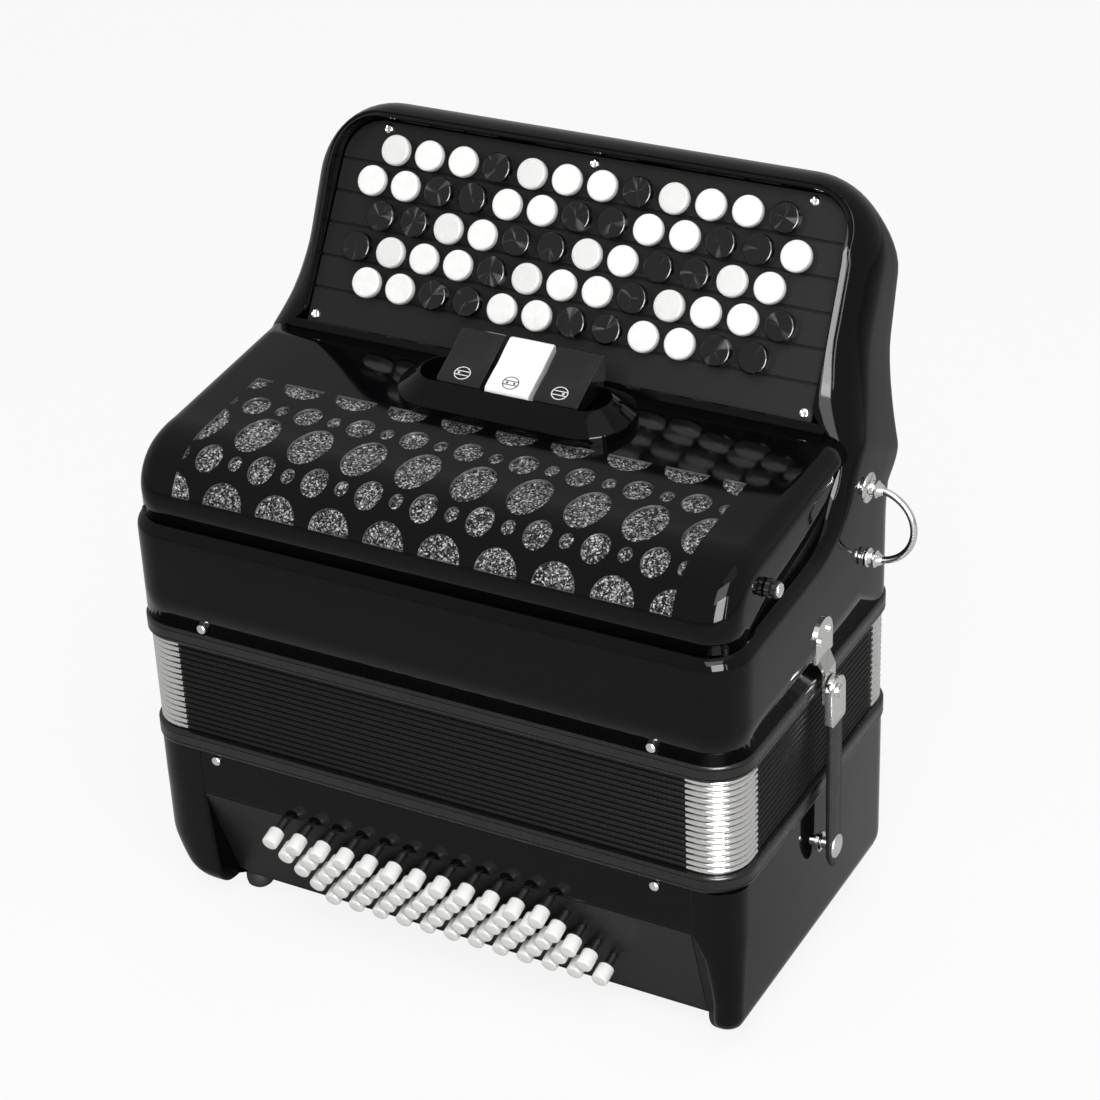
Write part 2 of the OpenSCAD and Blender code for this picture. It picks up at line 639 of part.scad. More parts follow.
module grille_cover() color("#1a1a1e") placed() difference() {
    intersection() {
        across(cover_half) polygon(concat(cover_curve(0), cover_skirt));
        translate([0, 0, ledge_z]) linear_extrude(120) translate([0, (cover_front + 60) / 2])
            rounded(2 * cover_half, 60 - cover_front, cover_corner);
    }
    intersection() {
        across(cover_half - cover_t) polygon(concat(cover_curve(cover_t), [[cover_back + 9, ledge_z + 40],
            [cover_back + 9, ledge_z - 9], [cover_front + cover_t, ledge_z - 9]]));
        translate([0, 0, ledge_z - 1]) linear_extrude(120) translate([0, (cover_front + 60) / 2])
            rounded(2 * (cover_half - cover_t), 60 - cover_front - 2 * cover_t, cover_corner - cover_t);
    }
    // rows of sound holes, wide and narrow by turns
    for (i = [-4:4]) translate([i * hole_pitch, 0, ledge_z]) {
        translate([0, -57, 0]) cylinder(h = 80, r = 9.5);
        translate([hole_pitch / 2, -38, 0]) cylinder(h = 80, r = 5.5);
        translate([0, -38, 0]) cylinder(h = 80, r = 2.8);
        translate([0, -21, 0]) cylinder(h = 80, r = 6);
    }
    rod_x(rivet_r + 0.2, -hx - 1, hx + 1, thumb_y, thumb_z);
    // seat of the register plinth
    on_cover(plinth_y) translate([plinth_x, 0, -9]) linear_extrude(8) rounded(3 * tab_pitch - 6, plinth_d - 26, 3);
}

module grille_cloth() color("#8c8c90") placed() intersection() {
    across(cover_half - cover_t - 22) polygon(concat(
        cover_curve(cover_t + slack), [for (i = [13:-1:0]) cover_curve(cover_t + slack + 0.8)[i]]));
    box(-hx, hx, -hy, -10, cover_foot_z + 4, cover_z + 20);
}

module cover_thumb_screws() color("silver") placed() both_ends() {
    rod_x(rivet_r, cover_half - cover_t - slack - upstand_t, cover_half + 1, thumb_y, thumb_z);
    rod_x(thumb_r, cover_half + slack, cover_half + 6.3, thumb_y, thumb_z);
    rod_x(thumb_r - 0.6, cover_half + 6.2, cover_half + 7.6, thumb_y, thumb_z);
}

module screw(head_r, head_h, length) {
    cylinder(h = head_h, r1 = head_r, r2 = head_r * 0.7);
    translate([0, 0, -length]) cylinder(h = length + 0.1, r = board_screw_r - 0.1);
}
module treble_screws() color("silver") placed() {
    on_board() screw_places() rotate([90, 0, 0]) screw(2 * board_screw_r, board_screw_r, screw_depth - 4);
    both_ends() translate([cover_half - cover_t - slack, cover_back - 11, cover_z - groove_h + 2.5])
        rotate([0, 90, 0]) cylinder(h = 1.1, r1 = 2.2, r2 = 1.6);
}

// ---------------------------------------------------------------- registers
plinth_x = 0;
plinth_y = 11.5;
plinth_base = 5;                  // height of the plinth's foot, below its upper step
plinth_step = 8;                  // how far the upper step stands in
tab_front = -9.3;                 // ends of a tab, from the middle of the plinth
tab_back = 22;
tab_floor = 3;                    // height of the well under the tabs
tab_rise = 12.1;                  // height of a tab's front edge above the cover
tab_gap = 0.5;                    // room around a tab
tab_top = tab_rise + (tab_back - 2 - tab_front) * tan(tab_slope);
axle = [11, 8];                   // place of the tab axle, behind and above the middle of the plinth's foot
axle_r = 1;
axle_half = 1.5 * tab_pitch + 4;
module register_plinth() color("#111113") placed() on_cover(plinth_y) translate([plinth_x, 0, 0]) {
    difference() {
        union() {
            translate([0, 0, play]) linear_extrude(plinth_base)
                rounded(2 * plinth_half, plinth_d, plinth_d / 2 - 0.5);
            translate([0, 0, plinth_base]) linear_extrude(plinth_h - plinth_base)
                rounded(2 * (plinth_half - plinth_step), plinth_d - 2 * plinth_step,
                        plinth_d / 2 - plinth_step - 0.5);
        }
        for (k = [-1:1]) {
            box(k * tab_pitch - tab_w / 2 - tab_gap, k * tab_pitch + tab_w / 2 + tab_gap,
                tab_front - tab_gap, tab_back - plinth_step + 3, tab_floor, plinth_h + 1);
            box(k * tab_pitch - tab_w / 2 - tab_gap, k * tab_pitch + tab_w / 2 + tab_gap,
                0, tab_back, plinth_base + play, plinth_h + 1);
        }
        rod_x(axle_r + play, -axle_half, axle_half, axle[0], axle[1]);
    }
    rod_x(axle_r, play - axle_half, axle_half - play, axle[0], axle[1]);
}
module register_tab(k) placed() on_cover(plinth_y) translate([plinth_x + k * tab_pitch, 0, 0])
    color(k == 0 ? "white" : "#1a1a1c") difference() {
        across(tab_w / 2) polygon([[tab_front, plinth_base + 1.4], [tab_front, tab_rise], [tab_back - 2, tab_top],
            [tab_back, tab_top - 1], [tab_back, plinth_h], [axle[0] + 5, plinth_base + 0.6]]);
        rod_x(axle_r + play, -tab_w, tab_w, axle[0], axle[1]);
    }

// ------------------------------------------------------------------- straps
module strap_rings() color("silver") placed() both_ends() translate([hx, ring_y, ring_z]) {
    e = ring_reach - ring_bend;
    half = ring_h / 2;
    for (s = [-1, 1]) {
        translate([-wall, 0, s * half]) rotate([0, 90, 0]) cylinder(h = wall + e, r = ring_wire_r);
        translate([e, 0, s * (half - ring_bend)]) intersection() {
            rotate([90, 0, 0]) rotate_extrude() translate([ring_bend, 0]) circle(ring_wire_r);
            box(0, 2 * ring_bend, -ring_bend, ring_bend, s > 0 ? 0 : -2 * ring_bend, s > 0 ? 2 * ring_bend : 0);
        }
        translate([0.1, 0, s * half]) rotate([0, 90, 0]) cylinder(h = ferrule_h, r = ferrule_r);
        translate([0.1 + ferrule_h, 0, s * half]) rotate([0, 90, 0])
            cylinder(h = ferrule_h + 1, r1 = ferrule_r, r2 = ring_wire_r + 0.8);
    }
    translate([0.1, 0, half]) rotate([0, 90, 0]) cylinder(h = 1.2, r = washer_r);
    translate([ring_reach, 0, -half + ring_bend]) cylinder(h = ring_h - 2 * ring_bend, r = ring_wire_r);
}

module strap_brackets() color("silver") placed() both_ends() translate([0, strap_y, 0]) {
    difference() {
        union() {
            translate([hx + play, 0, 0]) rotate([90, 0, 90]) linear_extrude(1.2) {
                translate([-plate_half, plate_z0]) square([2 * plate_half, plate_len - plate_half]);
                translate([0, plate_z0 + plate_len - plate_half]) circle(plate_half);
            }
            translate([0, 6, 0]) rotate([90, 0, 0]) linear_extrude(12) polygon([
                [hx + play, plate_z0 + 1], [hx + play + 1.2, plate_z0 + 1], [lug_x + lug_t, treble_z0 + 2],
                [lug_x + lug_t, rivet_z - 6], [lug_x, rivet_z - 6], [lug_x, treble_z0 + 2],
                [hx + play, plate_z0 - 1.5]]);
        }
    }
    rod_x(rivet_r, lug_x + 0.2, buckle_x + buckle_t + slack + 0.1, 0, rivet_z);
    rod_x(rivet_r + 1.3, buckle_x + buckle_t + slack, buckle_x + buckle_t + slack + 1, 0, rivet_z);
    for (p = [[5.3, 12], [-5.3, 10.5]]) rod_x(1.9, hx + play + 1.1, hx + 2.3, p[0], plate_z0 + p[1]);
}

module strap_studs() color("silver") placed() both_ends() {
    rod_x(5, hx + play, hx + 1.2, strap_y, snap_z);
    rod_x(3, hx + 1.1, strap_x - slack, strap_y, snap_z);
}

// leather, buckle and snap of one bellows strap
module bellows_strap() translate([0, strap_y, 0]) {
    hw = strap_w / 2;
    color("#18181a") difference() {
        translate([strap_x, 0, 0]) rotate([90, 0, 90]) linear_extrude(strap_t) polygon([
            [-hw, rivet_z - rivet_r - 5], [-hw, snap_z - tail * 0.3], [-2, snap_z - tail], [2, snap_z - tail],
            [hw, snap_z - tail * 0.3], [hw, rivet_z - rivet_r - 5]]);
    }
    color("silver") {
        difference() {
            translate([buckle_x, 0, 0]) rotate([90, 0, 90]) linear_extrude(buckle_t) {
                translate([0, rivet_z]) circle(hw + 1.6);
                translate([-hw - 1.6, rivet_z - 17]) square([2 * hw + 3.2, 17]);
            }
            rod_x(rivet_r + play, buckle_x - 1, buckle_x + buckle_t + 1, 0, rivet_z);
            box(strap_x - 0.1, strap_x + strap_t + 0.1, -hw - 0.2, hw + 0.2, rivet_z - 20, rivet_z - rivet_r - 4.8);
        }
        rod_x(snap_r, strap_x + strap_t + play, strap_x + strap_t + 1.6, 0, snap_z);
    }
}
module bellows_strap_right() placed() bellows_strap();
module bellows_strap_left() placed() mirror([1, 0, 0]) bellows_strap();

bass_casing();
bass_end_plate();
bass_button_board();
bass_frame();
bass_frame_pins();
feet();
bass_soundboard();
bass_reed_blocks();
bass_reed_plates();
bass_hand_strap();
hand_strap_anchors();
strap_studs();
air_button();
bass_row(1);  // bass_buttons_row_1
bass_row(2);  // bass_buttons_row_2
bass_row(3);  // bass_buttons_row_3
bass_row(4);  // bass_buttons_row_4
bass_row(5);  // bass_buttons_row_5
for (k = [1:folds_max]) bellows_fold(k);
treble_casing();
fingerboard();
treble_frame();
treble_frame_pins();
grille_cover();
grille_cloth();
cover_thumb_screws();
treble_screws();
register_plinth();
register_tab(-1);  // register_tab_low
register_tab(0);  // register_tab_master
register_tab(1);  // register_tab_high
button_board();
treble_soundboard();
treble_reed_blocks();
treble_reed_plates();
strap_rings();
strap_brackets();
bellows_strap_left();
bellows_strap_right();
treble_row(1);  // treble_buttons_row_1
treble_row(2);  // treble_buttons_row_2
treble_row(3);  // treble_buttons_row_3
treble_row(4);  // treble_buttons_row_4
treble_row(5);  // treble_buttons_row_5
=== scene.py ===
import json
import math

import bmesh
import bpy
import numpy as np
from mathutils import Matrix, Vector


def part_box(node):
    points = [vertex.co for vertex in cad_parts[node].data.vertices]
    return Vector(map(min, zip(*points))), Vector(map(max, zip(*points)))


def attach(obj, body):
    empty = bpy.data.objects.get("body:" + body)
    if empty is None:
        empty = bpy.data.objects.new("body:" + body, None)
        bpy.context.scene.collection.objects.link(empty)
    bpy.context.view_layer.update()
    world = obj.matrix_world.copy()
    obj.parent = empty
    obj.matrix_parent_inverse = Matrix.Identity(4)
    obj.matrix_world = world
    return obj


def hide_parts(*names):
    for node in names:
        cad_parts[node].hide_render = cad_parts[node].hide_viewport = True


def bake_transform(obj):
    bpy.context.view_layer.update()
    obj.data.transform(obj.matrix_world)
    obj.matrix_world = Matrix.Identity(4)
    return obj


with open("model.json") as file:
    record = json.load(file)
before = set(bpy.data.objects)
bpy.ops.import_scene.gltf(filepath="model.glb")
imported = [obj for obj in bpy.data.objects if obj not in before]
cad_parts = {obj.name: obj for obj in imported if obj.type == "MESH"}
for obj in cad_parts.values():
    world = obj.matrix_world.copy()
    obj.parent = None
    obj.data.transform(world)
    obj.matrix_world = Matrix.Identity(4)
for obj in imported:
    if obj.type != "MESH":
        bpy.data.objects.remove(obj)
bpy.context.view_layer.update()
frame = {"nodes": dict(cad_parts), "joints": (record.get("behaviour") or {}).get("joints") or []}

# ----------------------------------------------------------------------------------------- camera
# The camera stands in front and to the right of the instrument, a little above it. All lengths
# in this file are millimetres from the middle of the body, which place() brings into the frame.
scene = bpy.context.scene
nodes = frame["nodes"]
joints = {j["name"]: j for j in frame["joints"]}
casing_low, casing_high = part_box("bass_casing")
MIDDLE = (casing_low.y + casing_high.y) * 500
HALF_L = casing_high.x * 1000
HALF_D = (casing_high.y - casing_low.y) * 500


def place(points):
    """Points in millimetres from the middle of the body, as metres in the frame."""
    return np.array(points, float).reshape(-1, 3) * 0.001 + np.array([0, MIDDLE * 0.001, 0])


CAMERA_AT, LENS = (611.11, -1048.02, 888.63), 95.26
yaw, pitch, roll = math.radians(29.39), math.radians(29.95), math.radians(-2.49)
backward = Vector((math.sin(yaw) * math.cos(pitch), -math.cos(yaw) * math.cos(pitch),
                   math.sin(pitch)))
level = Vector((math.cos(yaw), math.sin(yaw), 0))
upright = backward.cross(level)
rightward = math.cos(roll) * level + math.sin(roll) * upright
upward = math.cos(roll) * upright - math.sin(roll) * level
camera_data = bpy.data.cameras.new("camera")
camera_data.lens = LENS
camera_data.clip_end = 20
camera = bpy.data.objects.new("camera", camera_data)
turn = Matrix((rightward, upward, backward)).transposed().to_4x4()
camera.matrix_world = Matrix.Translation(Vector(place(CAMERA_AT)[0])) @ turn
scene.collection.objects.link(camera)
scene.camera = camera

# ----------------------------------------------------------------------------------- bass casing
# The lower wooden shell, glued up and covered in black lacquer that is polished to a mirror.
# Its two lower ends are drawn round, and its front is cut back into a sloping recess between
# two rounded legs, where the bass buttons stand.


def linear(code):
    """An sRGB hex colour as linear RGBA."""
    values = [int(code[i:i + 2], 16) / 255 for i in (1, 3, 5)]
    return tuple(v / 12.92 if v <= 0.04045 else ((v + 0.055) / 1.055) ** 2.4
                 for v in values) + (1.0,)


def add(tree, kind, inputs=None, **settings):
    """Adds a node, sets its properties, and gives its inputs their values, colours or links."""
    node = tree.nodes.new(kind if kind[:8] in ("Geometry", "Function", "NodeGrou")
                          else "ShaderNode" + kind)
    for name, value in settings.items():
        setattr(node, name, value)
    for key, value in (inputs or {}).items():
        if isinstance(value, bpy.types.NodeSocket):
            tree.links.new(value, node.inputs[key])
        else:
            is_hex = isinstance(value, str) and value.startswith("#")
            node.inputs[key].default_value = linear(value) if is_hex else value
    return node


def start_material(name):
    """A new material, its node tree and its Object coordinates."""
    material = bpy.data.materials.new(name)
    material.use_nodes = True
    tree = material.node_tree
    tree.nodes.clear()
    return material, tree, add(tree, "TexCoord").outputs["Object"]


def finish_surface(tree, colour, roughness, height=None, relief=0.05, **sockets):
    """Ends a material: its colour, its roughness, a relief in millimetres, and other sockets."""
    inputs = {"Base Color": colour, "Roughness": roughness}
    inputs.update({name.replace("_", " "): value for name, value in sockets.items()})
    if height is not None:
        inputs["Normal"] = add(tree, "Bump", {"Height": height, "Strength": 1.0,
                                              "Distance": relief * 0.001}).outputs[0]
    add(tree, "OutputMaterial", {"Surface": add(tree, "BsdfPrincipled", inputs).outputs[0]})


# Polyester lacquer, sprayed and buffed: a deep black mirror, with a breath of polishing haze that
# softens some reflections, and the faintest orange peel, about 14 mm across.
lacquer, tree, at = start_material("black_polyester_lacquer")
haze = add(tree, "TexNoise", {"Vector": at, "Scale": 1000 / 45, "Detail": 3.0}).outputs[0]
peel = add(tree, "TexNoise", {"Vector": at, "Scale": 1000 / 14, "Detail": 1.0}).outputs[0]
tint = add(tree, "Mix", {0: haze, 6: "#050506", 7: "#08080a"}, data_type="RGBA").outputs[2]
gloss = add(tree, "MapRange", {"Value": haze, "To Min": 0.04, "To Max": 0.08}).outputs[0]
finish_surface(tree, tint, gloss, peel, 0.008, Specular_IOR_Level=0.17)


def join_piece(name, points, faces, material, body, smooth=32, replaces=(), slot=None, thick=None):
    """A mesh from millimetre points, with its edges kept where they are sharp, on a body."""
    mesh = bpy.data.meshes.new(name)
    mesh.from_pydata(place(points).tolist(), [], [list(map(int, f)) for f in faces])
    work = bmesh.new()
    work.from_mesh(mesh)
    bmesh.ops.remove_doubles(work, verts=work.verts, dist=2e-6)
    bmesh.ops.dissolve_degenerate(work, dist=1e-6, edges=work.edges)
    bmesh.ops.recalc_face_normals(work, faces=work.faces)
    work.to_mesh(mesh)
    work.free()
    mesh.polygons.foreach_set("use_smooth", [True] * len(mesh.polygons))
    mesh.set_sharp_from_angle(angle=math.radians(smooth))
    mesh.materials.append(material)
    piece = bpy.data.objects.new(name, mesh)
    scene.collection.objects.link(piece)
    if thick:
        wall = piece.modifiers.new("wall", "SOLIDIFY")
        wall.thickness = thick * 0.001
        wall.offset = -1
    if body:
        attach(piece, body)
    if replaces:
        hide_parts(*replaces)
    return piece


def grid_faces(rows, columns, around=False, first=0):
    """Quads over a grid of points that is stored row by row."""
    last = columns if around else columns - 1
    return [(first + i * columns + j, first + i * columns + (j + 1) % columns,
             first + (i + 1) * columns + (j + 1) % columns, first + (i + 1) * columns + j)
            for i in range(rows - 1) for j in range(last)]


def tube(rings):
    """The points and faces of a skin over rings of points, closed at both ends."""
    n = len(rings[0])
    caps = [list(range(n)), [(len(rings) - 1) * n + i for i in range(n)]]
    return [p for ring in rings for p in ring], grid_faces(len(rings), n, True) + caps


def refinish(material, *names):
    """Gives CAD nodes a new material."""
    for name in names:
        nodes[name].data.materials.clear()
        nodes[name].data.materials.append(material)


def arc(cx, cy, rx, ry, start, end, steps):
    """Points on an ellipse from one angle to another, in degrees."""
    return [(cx + rx * math.cos(t), cy + ry * math.sin(t))
            for t in np.radians(np.linspace(start, end, steps + 1))]


def ease(value, low, high):
    """0 to 1 between two values, easing in and out."""
    t = min(1.0, max(0.0, (value - low) / (high - low)))
    return t * t * (3 - 2 * t)


CORNER_R = 20.0
BASS_Z0, BASS_Z1 = casing_low.z * 1000, casing_high.z * 1000
BASS_LEFT_R, BASS_RIGHT_R = 30.0, 12.0     # rounds of the lower corners
BASS_EDGE_R = 10.0                # round of the long lower edges
LEG_R = 9.0                       # round of the legs beside the buttons
BROW_Z = BASS_Z1 - 25
board_low, board_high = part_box("bass_button_board")
RECESS_LEFT, RECESS_RIGHT = board_low.x * 1000 - 0.3, board_high.x * 1000 + 0.3
press = joints["bass_row_1_press"]["axis"]
BASS_LEAN = math.atan2(press[2], press[1])


def casing_outline(z):
    """The bass casing's outline at a height, with the recess cut into its front. Below, where the
    round ends come in under the recess, the legs thin out and draw back to the board."""
    half_left, half_right = [HALF_L - r
                             + math.sqrt(max(0.0, r ** 2 - max(0.0, BASS_Z0 + r - z) ** 2))
                             for r in (BASS_LEFT_R, BASS_RIGHT_R)]
    low = max(0.0, BASS_Z0 + BASS_EDGE_R - z)
    half_d = HALF_D - BASS_EDGE_R + math.sqrt(max(0.0, BASS_EDGE_R ** 2 - low ** 2))
    back_r = CORNER_R - (HALF_D - half_d) * 0.4
    down = max(0.0, BROW_Z - z)
    board_line = -HALF_D + down * math.tan(BASS_LEAN) + 0.3
    depth = max(0.02, board_line + half_d)
    front = []
    right = RECESS_RIGHT + 0.33 * min(down, 13) + 0.2 * max(0.0, min(down - 13, 25))
    for sign, half_l, inner, soft in ((-1, half_left, -RECESS_LEFT - 0.08 * down, 1.5),
                                      (1, half_right, right, LEG_R)):
        inner = min(inner, half_l - 0.4)
        leg = half_l - inner
        corner = min(back_r, leg * 0.62)
        round_in = min(soft, leg * 0.34, 0.3 + depth)
        face = -half_d + depth * (1 - ease(leg, 0.0, 14.0)) * (1 if depth > 1 else 0)
        wall = max(0.02, -half_d + depth - face)
        rise = min(round_in, wall)
        outer = arc(half_l - corner, face + corner, corner, corner, 0, -90, 8)
        inside = arc(inner + round_in, face + rise, round_in, rise, -90, -180, 8)
        foot = [(inner, face + rise + (wall - rise) * 0.5), (inner, face + wall)]
        edge = [(sign * x, y) for x, y in outer + inside + foot]
        front += edge if sign < 0 else edge[::-1]
        if sign < 0:
            front += [(x, -half_d + depth) for x in np.linspace(edge[-1][0], RECESS_RIGHT, 9)[1:-1]]
    points = front + arc(half_right - back_r, half_d - back_r, back_r, back_r, 0, 90, 8)
    points += arc(-half_left + back_r, half_d - back_r, back_r, back_r, 90, 180, 8)
    return [(x, y, z) for x, y in points]


heights = [BASS_Z1, BASS_Z1 - 12, BROW_Z + 1, BROW_Z - 0.05, BROW_Z - 2, BROW_Z - 5, BROW_Z - 9,
           BROW_Z - 14]
heights += [BASS_Z0 + BASS_LEFT_R * (1 - math.cos(math.radians(4 * i))) for i in range(22, -1, -1)]
rings = [casing_outline(z) for z in heights]
plate_low, plate_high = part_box("bass_end_plate")
plate_x = plate_high.x * 1000 + 0.4
plate_y = (plate_high.y - plate_low.y) * 500 + 0.4
plate_cy = (plate_low.y + plate_high.y) * 500 - MIDDLE
pocket = [(x * f, plate_cy + (y - plate_cy) * f, BASS_Z0) for x, y, _ in rings[-1]
          for f in [min(plate_x / max(abs(x), 1e-6), plate_y / max(abs(y - plate_cy), 1e-6))]]
mouth = [(x * 0.955, y * 0.925, BASS_Z1) for x, y, _ in rings[0]]
rings = ([[(x, y, BASS_Z0 + 7) for x, y, _ in pocket], [(x, y, BASS_Z1 - 16) for x, y, _ in mouth],
          mouth]
         + rings + [pocket, [(x, y, BASS_Z0 + 3.9) for x, y, _ in pocket]])
join_piece("bass_shell", *tube(rings), lacquer, "bass_side", 28, ["bass_casing"], "black_lacquer")

# The board behind the bass buttons is plywood with a satin black finish, a little lighter than
# the lacquer. It slides into the recess and is held by the legs.
# Satin paint over sanded plywood: a soft grey sheen with a fine grain about 0.6 mm wide.
satin, tree, at = start_material("satin_black_paint")
grain = add(tree, "TexNoise", {"Vector": at, "Scale": 1000 / 0.6, "Detail": 2.0}).outputs[0]
cloud = add(tree, "TexNoise", {"Vector": at, "Scale": 1000 / 30, "Detail": 3.0}).outputs[0]
tint = add(tree, "Mix", {0: cloud, 6: "#0b0b0c", 7: "#121213"}, data_type="RGBA").outputs[2]
gloss = add(tree, "MapRange", {"Value": grain, "To Min": 0.36, "To Max": 0.52}).outputs[0]
finish_surface(tree, tint, gloss, grain, 0.03, Specular_IOR_Level=0.3)
refinish(satin, "bass_button_board", "bass_end_plate")

# ---------------------------------------------------------------------------------- bass buttons
# Sixty white moulded buttons with domed ends, in five slanting rows of twelve. Each is pushed
# onto a black stem that runs through the board to its lever, and each row moves by itself.


def spread_tree():
    """Sets one small part on every vertex of a mesh, turned to the direction in facing."""
    group = bpy.data.node_groups.new("set_out", "GeometryNodeTree")
    for name, kind in (("Geometry", "Geometry"), ("Part", "Object"), ("Finish", "Material"),
                       ("Twist", "Float"), ("Seed", "Int")):
        group.interface.new_socket(name, in_out="INPUT", socket_type="NodeSocket" + kind)
    group.interface.new_socket("Geometry", in_out="OUTPUT", socket_type="NodeSocketGeometry")
    given = add(group, "NodeGroupInput")
    facing = add(group, "GeometryNodeInputNamedAttribute", {"Name": "facing"},
                 data_type="FLOAT_VECTOR")
    aimed = add(group, "FunctionNodeAlignRotationToVector", {"Vector": facing.outputs[0]}, axis="Z")
    chance = add(group, "FunctionNodeRandomValue", {"Seed": given.outputs["Seed"]},
                 data_type="FLOAT")
    least = [s for s in chance.inputs if s.name in ("Min", "Max") and s.type == "VALUE"]
    least[0].default_value, least[1].default_value = -1.0, 1.0
    spin = add(group, "Math", {0: [s for s in chance.outputs if s.type == "VALUE"][0],
                               1: given.outputs["Twist"]}, operation="MULTIPLY")
    turned = add(group, "CombineXYZ", {"Z": spin.outputs[0]})
    both = add(group, "FunctionNodeRotateRotation",
               {"Rotation": aimed.outputs[0], "Rotate By": turned.outputs[0]},
               rotation_space="LOCAL")
    part = add(group, "GeometryNodeObjectInfo", {"Object": given.outputs["Part"]})
    set_out = add(group, "GeometryNodeInstanceOnPoints",
                  {"Points": given.outputs["Geometry"], "Instance": part.outputs["Geometry"],
                   "Rotation": both.outputs[0]})
    real = add(group, "GeometryNodeRealizeInstances", {"Geometry": set_out.outputs[0]})
    done = add(group, "GeometryNodeSetMaterial", {"Geometry": real.outputs[0],
                                                  "Material": given.outputs["Finish"]})
    add(group, "NodeGroupOutput", {"Geometry": done.outputs[0]})
    return group


setting_out = spread_tree()


def settled(piece):
    """A new mesh of an object with its modifiers carried out."""
    bpy.context.view_layer.update()
    return bpy.data.meshes.new_from_object(piece.evaluated_get(bpy.context.evaluated_depsgraph_get()))


def set_out_parts(name, part, spots, facing, material, body, twist=0.0, replaces=(),
                  smooth=40):
    """One mesh of a small part (points and faces in millimetres) at each spot, riding on a body."""
    sample_mesh = bpy.data.meshes.new("sample")
    sample_mesh.from_pydata((np.array(part[0], float) * 0.001).tolist(), [], part[1])
    work = bmesh.new()
    work.from_mesh(sample_mesh)
    bmesh.ops.remove_doubles(work, verts=work.verts, dist=1e-6)
    bmesh.ops.recalc_face_normals(work, faces=work.faces)
    work.to_mesh(sample_mesh)
    work.free()
    own = [1000 * c for vertex in sample_mesh.vertices for c in vertex.co]
    sample_mesh.attributes.new("own", "FLOAT_VECTOR", "POINT").data.foreach_set("vector", own)
    sample = bpy.data.objects.new("sample", sample_mesh)
    holder_mesh = bpy.data.meshes.new(name)
    holder_mesh.from_pydata(place(spots).tolist(), [], [])
    facing = np.array(facing, float).reshape(-1, 3)
    facing = np.broadcast_to(facing, (len(holder_mesh.vertices), 3))
    holder_mesh.attributes.new("facing", "FLOAT_VECTOR", "POINT").data.foreach_set(
        "vector", facing.flatten())
    holder = bpy.data.objects.new(name + "_places", holder_mesh)
    scene.collection.objects.link(holder)
    modifier = holder.modifiers.new("set_out", "NODES")
    modifier.node_group = setting_out
    keys = {s.name: s.identifier for s in setting_out.interface.items_tree if s.in_out == "INPUT"}
    for key, value in (("Part", sample), ("Finish", material), ("Twist", twist), ("Seed", 7)):
        modifier[keys[key]] = value
    made = settled(holder)
    bpy.data.objects.remove(holder)
    bpy.data.objects.remove(sample)
    made.name = name
    if "facing" in made.attributes:
        made.attributes.remove(made.attributes["facing"])
    made.polygons.foreach_set("use_smooth", [True] * len(made.polygons))
    made.set_sharp_from_angle(angle=math.radians(smooth))
    piece = bpy.data.objects.new(name, made)
    scene.collection.objects.link(piece)
    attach(piece, body)
    if replaces:
        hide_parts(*replaces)
    return piece


def lathe(profile, steps=16):
    """A closed turned shape from (radius, height) points."""
    turns = [2 * math.pi * i / steps for i in range(steps)]
    return tube([[(r * math.cos(t), r * math.sin(t), h) for t in turns] for r, h in profile])


def mottled(name, size, detail, colours, gloss, relief):
    """A material whose colour, gloss and relief follow one noise. Sizes are in millimetres."""
    material, tree, at = start_material(name)
    noise = add(tree, "TexNoise", {"Vector": at, "Scale": 1000 / size, "Detail": detail}).outputs[0]
    tint = add(tree, "Mix", {0: noise, 6: colours[0], 7: colours[1]}, data_type="RGBA").outputs[2]
    rough = add(tree, "MapRange", {"Value": noise, "To Min": gloss[0],
                                   "To Max": gloss[1]}).outputs[0]
    finish_surface(tree, tint, rough, noise, relief)
    return material


# Moulded white acrylic: clean, slightly warm white with a soft gloss, and a faint cloudiness.
white_acrylic = mottled("white_acrylic", 5, 2.0, ("#efeeea", "#fafaf8"), (0.16, 0.26), 0.02)

# Black acetal rod, turned: a dull dark grey with fine speckled tool marks.
acetal = mottled("black_acetal", 0.8, 1.0, ("#0e0e0f", "#1a1a1b"), (0.3, 0.5), 0.02)

BASS_PITCH, BASS_ROW_GAP, BASS_ROW_STEP, BASS_FIRST, BASS_SHIFT = 13.4, 8.0, 7.0, 4.5, 4.5
STEM_R, STEM_H, BASS_CAP_R, BASS_CAP_H = 2.2, 7.6, 4.1, 8.5
bass_out = Vector((0, -math.cos(BASS_LEAN), -math.sin(BASS_LEAN)))
bass_down = Vector((0, math.sin(BASS_LEAN), -math.cos(BASS_LEAN)))
bass_cap = lathe([(2.6, 0)] + [(BASS_CAP_R - 0.5 + 0.5 * math.sin(t), 0.5 - 0.5 * math.cos(t))
                               for t in np.radians([30, 60, 90])]
                 + [(BASS_CAP_R - 1.0 + 1.0 * math.cos(t), BASS_CAP_H - 1.0 + 1.0 * math.sin(t))
                    for t in np.radians([0, 30, 60, 85])] + [(1.2, BASS_CAP_H + 0.05)], 18)
bass_stem = lathe([(STEM_R, 0), (STEM_R, STEM_H + 1)], 10)
